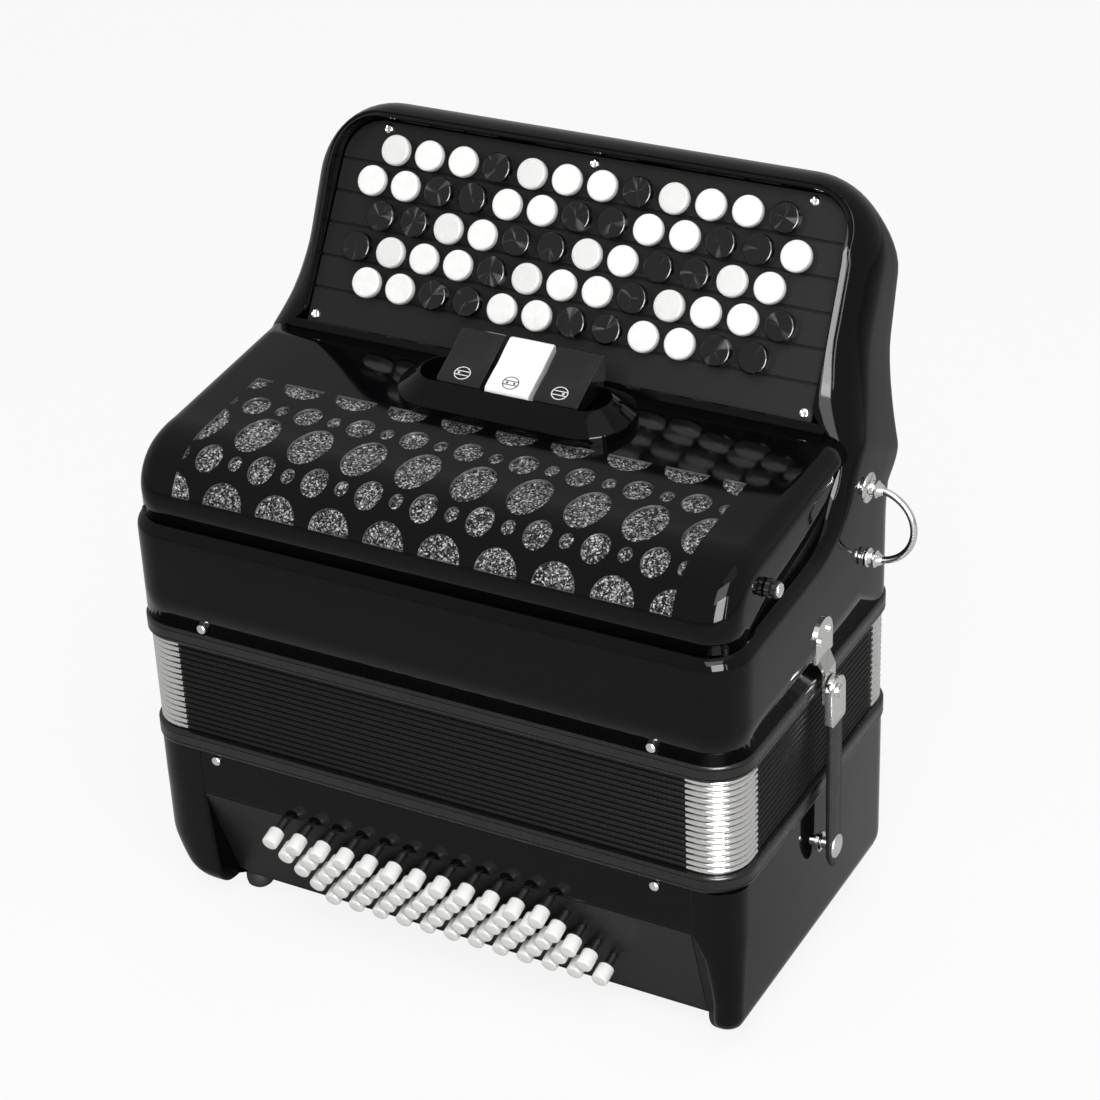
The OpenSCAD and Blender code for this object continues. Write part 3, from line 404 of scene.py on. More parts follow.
for row in range(5):
    spots = [Vector(((i - 5.5) * BASS_PITCH + (row - 2) * BASS_ROW_STEP + BASS_SHIFT, -HALF_D, BROW_Z))
             + bass_down * (BASS_FIRST + row * BASS_ROW_GAP) for i in range(12)]
    set_out_parts(f"bass_button_caps_{row + 1}", bass_cap, [s + bass_out * STEM_H for s in spots],
                  bass_out, white_acrylic, f"bass_row_{row + 1}", 3.0,
                  [f"bass_buttons_row_{row + 1}"])
    set_out_parts(f"bass_button_stems_{row + 1}", bass_stem, spots, bass_out,
                  acetal, f"bass_row_{row + 1}", 3.0, ())

# ---------------------------------------------------------------------------- feet and end plate
# Four round rubber feet, domed underneath, are screwed into the bass end.
# Moulded rubber: a dull dark grey with a fine grainy skin, about 0.4 mm.
rubber = mottled("moulded_rubber", 0.4, 2.0, ("#101010", "#1b1b1a"), (0.55, 0.8), 0.04)
foot_low, foot_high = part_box("feet")
FOOT_R = 7.0
foot_xs = (foot_low.x * 1000 + FOOT_R, foot_high.x * 1000 - FOOT_R)
foot_y = (foot_high.y - foot_low.y) * 500 - FOOT_R
foot_top = foot_high.z * 1000
foot = lathe([(FOOT_R * 0.35, 0.02), (FOOT_R * 0.7, 0.5), (FOOT_R * 0.93, 2.0), (FOOT_R, 4.2),
              (FOOT_R, foot_top - 2.5), (FOOT_R - 1, foot_top - 1.2), (FOOT_R - 1, foot_top)], 28)
foot_cy = (foot_low.y + foot_high.y) * 500 - MIDDLE
set_out_parts("rubber_feet", foot, [(x, foot_cy + sy * foot_y, 0) for x in foot_xs
                                    for sy in (-1, 1)],
              (0, 0, 1), rubber, "bass_side", 1.0, ["feet"])

# ---------------------------------------------------------------------------------------- bellows
# Sixteen pleats of card covered in black linen-grained cloth, folded into a ring, glued to the
# two frames, and bound at the edges.
# Bellows cloth: calendered cotton, black with a soft sheen. Threads run across the pleats, drawn
# 2.2 mm apart so that they show, and slubs about 1.5 mm long break them up.
cloth, tree, at = start_material("calendered_bellows_cloth")
straight = add(tree, "SeparateXYZ", {0: at})
run = add(tree, "Math", {0: straight.outputs[0], 1: straight.outputs[1]},
          operation="ADD").outputs[0]
sine_a = add(tree, "Math", {0: run, 1: 2 * math.pi / 0.0022}, operation="MULTIPLY").outputs[0]
thread = add(tree, "Math", {0: sine_a}, operation="SINE").outputs[0]
slub = add(tree, "TexNoise", {"Vector": at, "Scale": 1000 / 1.5, "Detail": 3.0}).outputs[0]
weave = add(tree, "MapRange", {"Value": thread, "From Min": -1.0}).outputs[0]
worn = add(tree, "Math", {0: weave, 1: slub}, operation="MULTIPLY").outputs[0]
tint = add(tree, "Mix", {0: worn, 6: "#070708", 7: "#151517"}, data_type="RGBA").outputs[2]
gloss = add(tree, "MapRange", {"Value": worn, "To Min": 0.55, "To Max": 0.34}).outputs[0]
finish_surface(tree, tint, gloss, worn, 0.12, Specular_IOR_Level=0.2)

FOLDS = 16
BELLOWS_Z0, BELLOWS_Z1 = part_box("bellows_fold_1")[0].z * 1000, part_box("bellows_fold_16")[1].z * 1000
FOLD = (BELLOWS_Z1 - BELLOWS_Z0) / FOLDS
FOLD_INSET, FOLD_DEEP, FOLD_R = 1.6, 23.0, 18.0


def rounded_ring(half_l, half_d, r, steps=8, along=0):
    """Points round a rounded rectangle, with extra points along its straight sides."""
    corners = [(-half_l + r, -half_d + r, 180), (half_l - r, -half_d + r, 270),
               (half_l - r, half_d - r, 0), (-half_l + r, half_d - r, 90)]
    points = []
    for i, (cx, cy, turn_from) in enumerate(corners):
        bend = arc(cx, cy, r, r, turn_from, turn_from + 90, steps)
        points += bend
        nx, ny, next_from = corners[(i + 1) % 4]
        goal = arc(nx, ny, r, r, next_from, next_from + 90, steps)[0]
        for k in range(1, along + 1):
            f = k / (along + 1)
            points.append((bend[-1][0] * (1 - f) + goal[0] * f,
                           bend[-1][1] * (1 - f) + goal[1] * f))
    return points


rings = []
for k in range(FOLDS):
    low = BELLOWS_Z0 + k * FOLD
    for inset, share in ((FOLD_DEEP, 0.0), (0.9, 0.10), (0.25, 0.22), (0.0, 0.38), (0.0, 0.62),
                         (0.25, 0.78), (0.9, 0.90)):
        ring = rounded_ring(HALF_L - FOLD_INSET - inset, HALF_D - FOLD_INSET - inset,
                            max(3.0, FOLD_R - inset), 7, 5)
        rings.append([(x, y, low + share * FOLD) for x, y in ring])
ring = rounded_ring(HALF_L - FOLD_INSET - FOLD_DEEP, HALF_D - FOLD_INSET - FOLD_DEEP, 3.0, 7, 5)
rings.append([(x, y, BELLOWS_Z1) for x, y in ring])
around = len(ring)
bellows = join_piece("bellows_cloth", [p for r in rings for p in r],
                     grid_faces(len(rings), around, True),
                     cloth, None, 50, [f"bellows_fold_{k}" for k in range(1, FOLDS + 1)],
                     "bellows_cloth", thick=0.5)
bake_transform(bellows)

# Bright nickel-plated brass clips are crimped over the corners of each pleat, bar upon bar.
# Nickel plate, polished: a pale, slightly warm mirror with fine scuffs that blur it unevenly.
nickel, tree, at = start_material("polished_nickel_plate")
scuff = add(tree, "TexNoise", {"Vector": at, "Scale": 1000 / 2.5, "Detail": 4.0,
                               "Distortion": 0.6}).outputs[0]
tint = add(tree, "Mix", {0: scuff, 6: "#d6d5d2", 7: "#efeeec"}, data_type="RGBA").outputs[2]
gloss = add(tree, "MapRange", {"Value": scuff, "To Min": 0.08, "To Max": 0.2}).outputs[0]
finish_surface(tree, tint, gloss, scuff, 0.006, Metallic=1.0)

CLIP_FRONT, CLIP_SIDE = 23.5, 24.8
for k in range(FOLDS):
    mid = BELLOWS_Z0 + (k + 0.5) * FOLD
    points, faces = [], []
    for sx in (-1, 1):
        for sy in (-1, 1):
            r = FOLD_R
            cx, cy = sx * (HALF_L - FOLD_INSET - r), sy * (HALF_D - FOLD_INSET - r)
            path = [(cx + sx * r * t[0], cy + sy * r * t[1], sx * t[2], sy * t[3]) for t in
                    [((r - CLIP_FRONT) / r, 1, 0, 1)]
                    + [(math.cos(a), math.sin(a), math.cos(a), math.sin(a))
                       for a in np.radians(np.linspace(90, 0, 9))]
                    + [(1, (r - CLIP_SIDE) / r, 1, 0)]]
            section = [(-1.2, -1.28), (0.05, -1.28), (0.5, -0.98), (0.72, -0.35), (0.72, 0.35),
                       (0.5, 0.98), (0.05, 1.28), (-1.2, 1.28)]
            first = len(points)
            for i, (x, y, nx, ny) in enumerate(path):
                shrink = 0.8 if i in (0, len(path) - 1) else 1.0
                points += [(x + nx * o * shrink, y + ny * o * shrink, mid + h * shrink)
                           for o, h in section]
            faces += grid_faces(len(path), len(section), True, first)
            faces.append([first + i for i in range(len(section))])
            faces.append([first + (len(path) - 1) * len(section) + i for i in range(len(section))])
    join_piece(f"corner_clips_{k + 1}", points, faces, nickel, f"fold_{k + 1}", 40, (), "chrome")

# ------------------------------------------------------------------------------ frames and pins
# The bellows end in two wooden frames, painted black, whose bands show between the bellows and
# the casings. Nickel pins with round heads go through the casings into them.
# Black spray paint on wood: an eggshell gloss with a slight ripple.
frame_paint = mottled("black_sprayed_paint", 3, 3.0, ("#0a0a0b", "#121213"), (0.2, 0.34), 0.02)


def frame_band(name, z_low, z_high, body, node):
    """One frame's band: rounded edges with a fine groove near each, closed towards the inside."""
    profile = [(16, 0.0), (0.9, 0.0), (0.3, 0.25), (0.0, 0.8), (0.0, 1.7), (0.45, 1.95), (0.0, 2.2)]
    height = z_high - z_low
    profile = profile + [(inset, height - z) for inset, z in profile[::-1]]
    rings = [[(x, y, z_low + z)
              for x, y in rounded_ring(HALF_L + 1 - inset, HALF_D + 1 - inset, 21 - inset, 10)]
             for inset, z in profile]
    rings.append(rings[0])
    join_piece(name, [p for r in rings for p in r], grid_faces(len(rings), len(rings[0]), True),
               frame_paint, body, 40, [node], "frame_black")


frame_band("bass_frame_band", BASS_Z1, BELLOWS_Z0 - 0.1, "bass_side", "bass_frame")
TREBLE_Z0 = BELLOWS_Z1 + 8.8
frame_band("treble_frame_band", BELLOWS_Z1 + 0.1, TREBLE_Z0, "treble_side", "treble_frame")
pin = lathe([(1.4, -5), (1.4, -0.2), (2.6, 0), (2.6, 0.45), (2.2, 1.0), (1.2, 1.5), (0.3, 1.7)], 18)
for name, node, body in (("bass_frame_pin_heads", "bass_frame_pins", "bass_side"),
                         ("treble_frame_pin_heads", "treble_frame_pins", "treble_side")):
    low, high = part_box(node)
    z = (low.z + high.z) * 500
    spots = [(sx * 120.0, sy * HALF_D, z) for sx in (-1, 1) for sy in (-1, 1)]
    set_out_parts(name, pin, spots, [(0, sy, 0) for sx in (-1, 1) for sy in (-1, 1)], nickel, body,
                  1.0, [node])

# ------------------------------------------------------------------------- treble casing and neck
# The upper wooden shell: a casing whose front rises to a ledge for the grille, and the fingerboard
# that sweeps up from it to a round nose. Both are glued, filled and lacquered as one body, and
# its rim is rounded over, small along the ledge and large round the keys.
LEDGE_Z, SWEEP_Z = TREBLE_Z0 + 54.3, TREBLE_Z0 + 59.3
RIM_LEAN = math.radians(25.6)
NOSE_R = 22.0
NOSE = np.array([99.8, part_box("fingerboard")[1].z * 1000 - NOSE_R])
rim_up = np.array([math.sin(RIM_LEAN), math.cos(RIM_LEAN)])
rim_in = np.array([math.cos(RIM_LEAN), -math.sin(RIM_LEAN)])
rim_line = NOSE - NOSE_R * rim_in
SWEEP_R, SWEEP_LENGTH = 42.0, 115.8
sweep_end = rim_line - rim_up * SWEEP_LENGTH
sweep_centre = sweep_end - SWEEP_R * rim_in
KINK = np.array([HALF_D, TREBLE_Z0 + 59.8])
reach = NOSE - KINK
back_angle = math.atan2(reach[1], reach[0]) - math.asin(NOSE_R / np.hypot(*reach))
back_out = np.array([math.sin(back_angle), -math.cos(back_angle)])
TOP_CORNER_R, TOP_CORNER_V, NECK_HALF = 40.0, -18.0, 151.0
EDGE_R, NECK_EDGE_R, NECK_BACK_R = 7.0, 24.0, 7.0          # rounds of the rim and of the neck's back
FLARE_LOW, FLARE_HIGH = TREBLE_Z0 + 99.8, TREBLE_Z0 + 143.8
RECESS_HALF, RECESS_TOP, RECESS_FOOT, RECESS_R = 137.0, 13.6, -91.4, 20.0
BOARD_LEAN = math.atan2(-joints["treble_row_1_press"]["axis"][2],
                        joints["treble_row_1_press"]["axis"][1])
board_out = np.array([-math.cos(BOARD_LEAN), math.sin(BOARD_LEAN)])
board_up = np.array([math.sin(BOARD_LEAN), math.cos(BOARD_LEAN)])
board_at = np.array([66.6, TREBLE_Z0 + 156.1]) - 8.0 * board_out


def neck_side(z):
    """Half of the body's width at a height: full at the casing, flaring in to the neck."""
    s = min(1.0, max(0.0, (z - FLARE_LOW) / (FLARE_HIGH - FLARE_LOW)))
    return NECK_HALF + (HALF_L - NECK_HALF) * (1 - s) ** 1.5


def rim_width(corner_x, corner_v, nx, nv):
    """How far in from the rim's outline the recess for the keys begins, along the normal."""
    for step in range(1, 400):
        i = step * 0.1
        x, v = abs(corner_x - nx * i), corner_v - nv * i
        over_x, over_v = x - (RECESS_HALF - RECESS_R), v - (RECESS_TOP - RECESS_R)
        inside = (x <= RECESS_HALF and v <= RECESS_TOP and
                  (over_x <= 0 or over_v <= 0 or math.hypot(over_x, over_v) <= RECESS_R))
        if inside:
            return i
    return 40.0


# Each station of the rim: its outline point, outward normal, inward direction, rounding and rim.
stations = []
for x in np.linspace(0, HALF_L - CORNER_R, 6):
    stations.append(((x, -HALF_D, LEDGE_Z), (0, -1, 0), (0, 0, -1), EDGE_R, EDGE_R))
for a in np.radians(np.linspace(270, 360, 10)[1:]):
    x, y = HALF_L - CORNER_R + CORNER_R * math.cos(a), -HALF_D + CORNER_R + CORNER_R * math.sin(a)
    z = LEDGE_Z + (SWEEP_Z - LEDGE_Z) * (y + HALF_D) / (sweep_centre[0] + HALF_D)
    stations.append(((x, y, z), (math.cos(a), math.sin(a), 0), (0, 0, -1), EDGE_R, EDGE_R))
for y in np.linspace(-HALF_D + CORNER_R, sweep_centre[0], 8)[1:-1]:
    z = LEDGE_Z + (SWEEP_Z - LEDGE_Z) * (y + HALF_D) / (sweep_centre[0] + HALF_D)
    stations.append(((HALF_L, y, z), (1, 0, 0), (0, 0, -1), EDGE_R, EDGE_R))
for a in np.radians(np.linspace(-90, -25.6, 19)):
    y, z = sweep_centre[0] + SWEEP_R * math.cos(a), sweep_centre[1] + SWEEP_R * math.sin(a)
    r = EDGE_R + 5.0 * ease(math.degrees(a), -75, -25.6)
    stations.append(((neck_side(z), y, z), (1, 0, 0), (0, math.cos(a), math.sin(a)), r, r))
for v in np.concatenate([np.linspace(-112, -78, 14), np.linspace(-70, TOP_CORNER_V, 10)]):
    point = rim_line + rim_up * v
    x = neck_side(point[1])
    r = 12.0 + 12.0 * ease(v, -116, -70)
    width = 12.0 * (1 - ease(v, -100, -84)) + (x - RECESS_HALF) * ease(v, -100, -84)
    stations.append(((x, point[0], point[1]), (1, 0, 0), (0, rim_in[0], rim_in[1]), r, width))
for a in np.radians(np.linspace(0, 90, 15)[1:]):
    x, v = NECK_HALF - TOP_CORNER_R + TOP_CORNER_R * math.cos(a), TOP_CORNER_V + TOP_CORNER_R * math.sin(a)
    point = rim_line + rim_up * v
    normal = (math.cos(a), rim_up[0] * math.sin(a), rim_up[1] * math.sin(a))
    stations.append(((x, point[0], point[1]), normal, (0, rim_in[0], rim_in[1]),
                     NECK_EDGE_R - 2 * ease(math.degrees(a), 0, 60),
                     rim_width(x, v, math.cos(a), math.sin(a))))
point = rim_line + rim_up * NOSE_R
for x in np.linspace(NECK_HALF - TOP_CORNER_R, 0, 7)[1:]:
    stations.append(((x, point[0], point[1]), (0, rim_up[0], rim_up[1]), (0, rim_in[0], rim_in[1]),
                     NOSE_R, NOSE_R - RECESS_TOP))

rows, back_low, back_high = [], [], []
for spot, normal, inward, r, width in stations:
    spot, normal, inward = np.array(spot), np.array(normal, float), np.array(inward, float)
    drop = r - math.sqrt(max(0.0, r * r - max(0.0, r - width) ** 2))
    inner = spot - width * normal + drop * inward
    along_neck = spot[2] > sweep_end[1] - 4 and inward[1] > 0.5
    in_recess = along_neck and np.dot(spot[1:] - NOSE, rim_up) > RECESS_FOOT - 1
    if in_recess:
        gap = np.dot(inner[1:] - board_at, board_out) + 6.0
        wall_dir = -np.array([0, board_out[0], board_out[1]])
    else:
        gap, wall_dir = 5.0, inward
    row = [inner + wall_dir * gap, inner + wall_dir * (gap * 0.5), inner + wall_dir * 0.9,
           inner + wall_dir * 0.25 + normal * 0.2]
    shelf = r - math.sqrt(max(0.0, r * r - max(0.0, r - width + 0.9) ** 2))
    start, crest = 0.0, spot - r * normal
    if width <= r:
        start = math.degrees(math.asin((r - width * 0.85) / r))
        crest = (spot - normal * width * 0.85
                 + (r - math.sqrt(max(0.0, r * r - (r - width * 0.85) ** 2))) * inward)
    row += [spot - (width - 0.9) * normal + shelf * inward, crest]
    row += [spot - r * normal + r * math.sin(t) * normal + (r - r * math.cos(t)) * inward
            for t in np.radians(np.linspace(start, 90, 12)[1:])]
    # the side face runs inward to the bottom edge, or to the rounding before the back
    to_bottom = (spot[2] - TREBLE_Z0) / -inward[2] if inward[2] < -1e-6 else 1e9
    nb = np.array([0, 1.0, 0.0])
    base = np.array([0, KINK[0], KINK[1]])

    def back_reach(nb, size):
        """How far inward a rounding of this size begins, so that it ends in the back."""
        return ((np.dot(base - spot, nb) + size * np.dot(normal, nb) - size)
                / max(np.dot(inward, nb), 1e-6))

    size = CORNER_R - (CORNER_R - NECK_BACK_R) * ease(spot[2], 240, 262)
    size += (NOSE_R - size) * ease(float(np.dot(normal[1:], rim_up)), 0.0, 0.8)
    w_back = back_reach(nb, size)
    sloped = np.array([0, back_out[0], back_out[1]])
    if (spot + inward * w_back)[2] > KINK[1] - 2:
        nb = sloped
        room = np.dot(base - spot, nb) - r * np.dot(inward, nb)
        size = min(size, room / (1 - np.dot(normal, nb)))
        w_back = back_reach(nb, size)
    if to_bottom <= w_back:
        end = spot + inward * to_bottom
        row += [spot + inward * (r + (to_bottom - r) * f) for f in (0.34, 0.67, 1.0)] + [end] * 8
        rows.append(row)
        continue
    row += [spot + inward * (r + (w_back - r) * f) for f in (0.34, 0.67, 1.0)]
    centre = spot + inward * w_back - size * normal
    for f in np.linspace(0, 1, 9)[1:]:
        direction = normal * math.sin((1 - f) * math.pi / 2) + nb * math.sin(f * math.pi / 2)
        row.append(centre + size * direction / np.linalg.norm(direction))
    rows.append(row)
    (back_high if nb[2] else back_low).append(row[-1])

# The back corner's lowest row lies in the bottom edge.
columns = len(rows[0])
first_back = next(i for i, row in enumerate(rows) if np.linalg.norm(row[-1] - row[-9]) > 1)
corner = [np.array([HALF_L - CORNER_R + CORNER_R * math.cos(t),
                    HALF_D - CORNER_R + CORNER_R * math.sin(t), TREBLE_Z0])
          for t in np.radians(np.linspace(0, 90, 9))]
rows[first_back - 1][-9:] = corner
back_low.insert(0, corner[-1])
points, faces = [], []
for sign in (1, -1):
    first = len(points)
    points += [(sign * p[0], p[1], p[2]) for row in rows for p in row]
    faces += grid_faces(len(rows), columns, False, first)


def whole_face(edge):
    """A face across the back from one side's edge points to the other's."""
    first = len(points)
    points.extend([(p[0], p[1], p[2]) for p in edge] + [(-p[0], p[1], p[2]) for p in edge[::-1]])
    faces.append(list(range(first, len(points))))


whole_face(back_low)
whole_face([back_low[-1], back_high[0]])
for low, high in zip(back_high[:-1], back_high[1:]):
    if low[0] > 1 and np.linalg.norm(np.array(high) - low) > 1e-3 and high[2] > low[2] + 1e-3:
        whole_face([low, high])
join_piece("treble_shell", points, faces, lacquer, "treble_side", 30,
           ["treble_casing", "fingerboard"], "black_lacquer", thick=3.0)

# A rail across the foot of the neck closes the gap between the keys and the grille cover, and a
# dark liner stands in the groove at each end of the cover.
section = [rim_line + rim_up * v + rim_in * w for v, w in
           ((-114, 0.02), (RECESS_FOOT - 0.5, 0.02), (RECESS_FOOT, 0.5), (RECESS_FOOT, 5),
            (-114, 5))]
rail = [[(x, p[0], p[1]) for p in section] for x in (-RECESS_HALF - 8, RECESS_HALF + 8)]
join_piece("neck_foot_rail", *tube(rail), lacquer, "treble_side", 30, (), "black_lacquer")
LINER_IN, LINER_OUT, LINER_Z = 149.9, 153.6, 214.0
liner_top = [(-84, 222), (-47.5, 233), (-10, 243), (10, 247.5), (22, 254), (31, 262)]
points, faces = [], []
for sign in (-1, 1):
    liner, quads = tube([[(sign * x, y, h) for x, h in (
        (LINER_IN, z), (LINER_OUT, z), (LINER_OUT, LINER_Z), (LINER_IN, LINER_Z))]
        for y, z in liner_top])
    faces += [[len(points) + i for i in quad] for quad in quads]
    points += liner
join_piece("groove_liners", points, faces, frame_paint, "treble_side", 30, (), "frame_black")

# ----------------------------------------------------------------------------------- grille cover
# The cover over the treble reeds is pressed in one sheet, rolled over at the front, and sprayed
# with the same lacquer. Rows of oval sound holes are cut through the roll.
COVER_HALF, COVER_FRONT, COVER_FOOT = HALF_L - 4.0, -HALF_D + 4.0, LEDGE_Z + 0.8
COVER_Z, COVER_SLOPE, ROLL_Y, ROLL_Z, COVER_BACK, COVER_T = TREBLE_Z0 + 98.1, 0.103, 38.0, 28.0, 38.0, 1.2
roll_y = COVER_FRONT + ROLL_Y
roll_z = COVER_Z + COVER_SLOPE * roll_y - ROLL_Z
profile = [(COVER_FRONT, COVER_FOOT)] + [
    (roll_y + ROLL_Y * math.cos(t), roll_z + ROLL_Z * math.sin(t))
    for t in np.radians(np.linspace(180, 90, 25))]
profile += [(y, COVER_Z + COVER_SLOPE * y) for y in np.linspace(roll_y, COVER_BACK, 10)[1:]]
skirt = [(COVER_FRONT, COVER_FOOT), (-47.5, COVER_Z - 34.5), (-7, COVER_Z - 26), (17, COVER_Z - 18),
         (28.8, COVER_Z - 6), (COVER_BACK, COVER_Z + 1.5)]
skirt_y, skirt_z = zip(*skirt)
rows = []
lengths = np.concatenate([[0], np.cumsum([math.dist(a, b) for a, b in zip(profile, profile[1:])])])
for i, (y, z) in enumerate(profile):
    low, high = profile[max(0, i - 1)], profile[min(len(profile) - 1, i + 1)]
    if i == 0:
        high = (low[0], low[1] + 1)
    along = np.array([high[0] - low[0], high[1] - low[1]])
    along /= np.linalg.norm(along)
    out = np.array([-along[1], along[0]])
    r = 16.0 - 6.0 * ease(lengths[i], 4, 45)
    row = [(x, y, z) for x in np.linspace(0, COVER_HALF - r, 7)]
    for t in np.radians(np.linspace(0, 90, 11)[1:]):
        inner = np.array([y, z]) - out * (r - r * math.cos(t))
        row.append((COVER_HALF - r + r * math.sin(t), inner[0], inner[1]))
    edge = np.array(row[-1][1:])
    foot_y = (-HALF_D + 20) + (COVER_BACK - (-HALF_D + 20)) * (lengths[i] / lengths[-1])
    foot_y = min(COVER_BACK, max(foot_y, edge[0] if i > 26 else -1e9))
    foot = np.array([foot_y, np.interp(foot_y, skirt_y, skirt_z)])
    if foot[1] > edge[1]:
        foot = edge.copy()
    row += [(COVER_HALF, *(edge + (foot - edge) * f)) for f in (0.33, 0.67, 1.0)]
    rows.append(row)
columns = len(rows[0])
points, faces = [], []
for sign in (1, -1):
    faces += grid_faces(len(rows), columns, False, len(points))
    points += [(sign * p[0], p[1], p[2]) for row in rows for p in row]
cover = join_piece("grille_cover_shell", points, faces, lacquer, None, 30, (), None, thick=COVER_T)

# Sound holes: five staggered rows of ovals, cut square through the roll. The first and last rows
# are halved by the edges of the pattern.
HOLE_STEP, HOLE_MID = 29.15, -2.0
rows_of_holes = []
for k in range(-5, 6):
    odd, even = HOLE_MID + HOLE_STEP * (k + 0.5), HOLE_MID + HOLE_STEP * k
    rows_of_holes += [(odd, 15.8, 10.8, 11.7), (even, 37.8, 6.6, 8.1), (odd, 37.8, 3.3, 4.2),
                      (odd, 59.3, 9.8, 14.0), (even, 80.8, 6.9, 7.4), (odd, 80.8, 3.3, 4.1),
                      (odd, 102.8, 11.0, 10.2)]
HOLES_LEFT, HOLES_RIGHT, HOLES_LOW, HOLES_HIGH = -132.0, 129.0, 15.3, 102.8
HOLE_POINTS, SHORTEST_SIDE = 24, 0.3


def on_roll(w):
    """The point and outward normal of the cover's outside at an arc length from its foot."""
    i = min(len(lengths) - 2, int(np.searchsorted(lengths, w, side="right")) - 1)
    f = (w - lengths[i]) / (lengths[i + 1] - lengths[i])
    a, b = np.array(profile[i]), np.array(profile[i + 1])
    along = (b - a) / np.linalg.norm(b - a)
    return a + (b - a) * f, np.array([-along[1], along[0]])


points, faces = [], []
for cx, cw, a, b in rows_of_holes:
    outline = []
    for t in np.linspace(0, 2 * math.pi, HOLE_POINTS + 1)[:-1]:
        x = min(HOLES_RIGHT, max(HOLES_LEFT, cx + a * math.cos(t)))
        w = min(HOLES_HIGH, max(HOLES_LOW, cw + b * math.sin(t)))
        if not outline or math.dist(outline[-1], (x, w)) > SHORTEST_SIDE:
            outline.append((x, w))
    xs = [p[0] for p in outline]
    if max(xs) - min(xs) < 1.5 or len(outline) < 6:
        continue
    if math.dist(outline[0], outline[-1]) < SHORTEST_SIDE:
        outline.pop()
    plug, sides = tube([[(x, *(on_roll(w)[0] + on_roll(w)[1] * lift)) for x, w in outline]
                        for lift in (-5.0, 3.0)])
    faces += [[len(points) + i for i in side] for side in sides]
    points += plug

# Hole walls: a paler, duller grey is painted on the punched edges as a painted highlight, where the edges
# would catch the light.
painted_edge_highlight = mottled("painted_highlight_hole_edge", 4, 3.0, ("#3c3c3e", "#77777a"), (0.25, 0.45), 0.02)
whole = bpy.data.objects.new("uncut_cover", settled(cover))
scene.collection.objects.link(whole)
# The cutter carries the painted edge highlight onto the hole walls.
cutter = join_piece("hole_cutter", points, faces, painted_edge_highlight, None)
cut = cover.modifiers.new("holes", "BOOLEAN")
cut.object = cutter
cut.solver = "EXACT"
cut.material_mode = "TRANSFER"
# The sheet keeps the shading of the uncut cover, so that the holes do not dent it.
keep = cover.modifiers.new("uncut_shading", "DATA_TRANSFER")
keep.object = whole
keep.use_loop_data = True
keep.data_types_loops = {"CUSTOM_NORMAL"}
keep.loop_mapping = "POLYINTERP_NEAREST"
cover_mesh = settled(cover)
shading = [corner.vector.copy() for corner in cover_mesh.corner_normals]
for face in cover_mesh.polygons:
    if face.material_index == 1:
        for corner in face.loop_indices:
            shading[corner] = face.normal.copy()
cover_mesh.normals_split_custom_set(shading)
cover.modifiers.clear()
cover.data = cover_mesh
bpy.data.objects.remove(cutter)
bpy.data.objects.remove(whole)
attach(cover, "treble_side")
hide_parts("grille_cover")

# Behind the holes lies a cloth of silver glitter, glued to the inside of the cover.
# Flakes about 0.7 mm wide, each with its own bump height; a few are painted white as painted glints and
# the rest painted dark, so that they seem to flash.
glitter, tree, at = start_material("silver_glitter_cloth")
flake = add(tree, "TexVoronoi", {"Vector": at, "Scale": 1000 / 0.7})
shade = add(tree, "SeparateColor", {0: flake.outputs["Color"]})
# Painted glints: the brightest flakes are painted white and the others stay painted dark.
painted_glint = add(tree, "Math", {0: shade.outputs[0], 1: 4.0}, operation="POWER").outputs[0]
tint = add(tree, "Mix", {0: painted_glint, 6: "#1c1c1d", 7: "#ffffff"}, data_type="RGBA").outputs[2]
tilt = add(tree, "Bump", {"Height": shade.outputs[1], "Strength": 1.0, "Distance": 0.0009})
shader = add(tree, "BsdfPrincipled", {"Base Color": tint, "Roughness": 0.35, "Metallic": 0.75,
                                      "Normal": tilt.outputs[0]})
add(tree, "OutputMaterial", {"Surface": shader.outputs[0]})
CLOTH_LEFT, CLOTH_RIGHT, CLOTH_LOW, CLOTH_HIGH = HOLES_LEFT - 4, HOLES_RIGHT + 4, 12.3, 106.8
CLOTH_OUT, CLOTH_IN = COVER_T + 0.15, COVER_T + 0.65
rings = [[(x, *(p - out * depth)) for x, depth in (
    (CLOTH_LEFT, CLOTH_OUT), (CLOTH_RIGHT, CLOTH_OUT),
    (CLOTH_RIGHT, CLOTH_IN), (CLOTH_LEFT, CLOTH_IN))]
         for p, out in map(on_roll, np.linspace(CLOTH_LOW, CLOTH_HIGH, 40))]
grille_cloth = join_piece("grille_glitter_cloth", *tube(rings), glitter, "treble_side", 40,
                          ["grille_cloth"], "glitter_cloth")

# ---------------------------------------------------------------------------------- button board
# The board behind the treble buttons is moulded in six strips with a narrow groove between each
# pair, in a matt black that is a little lighter than the lacquer. Five screws hold it down.


def on_board(x, out, up):
    """A point by its place along the board, its height over the board's face, and up the board."""
    at_board = board_at + board_out * out + board_up * up
    return (x, at_board[0], at_board[1])


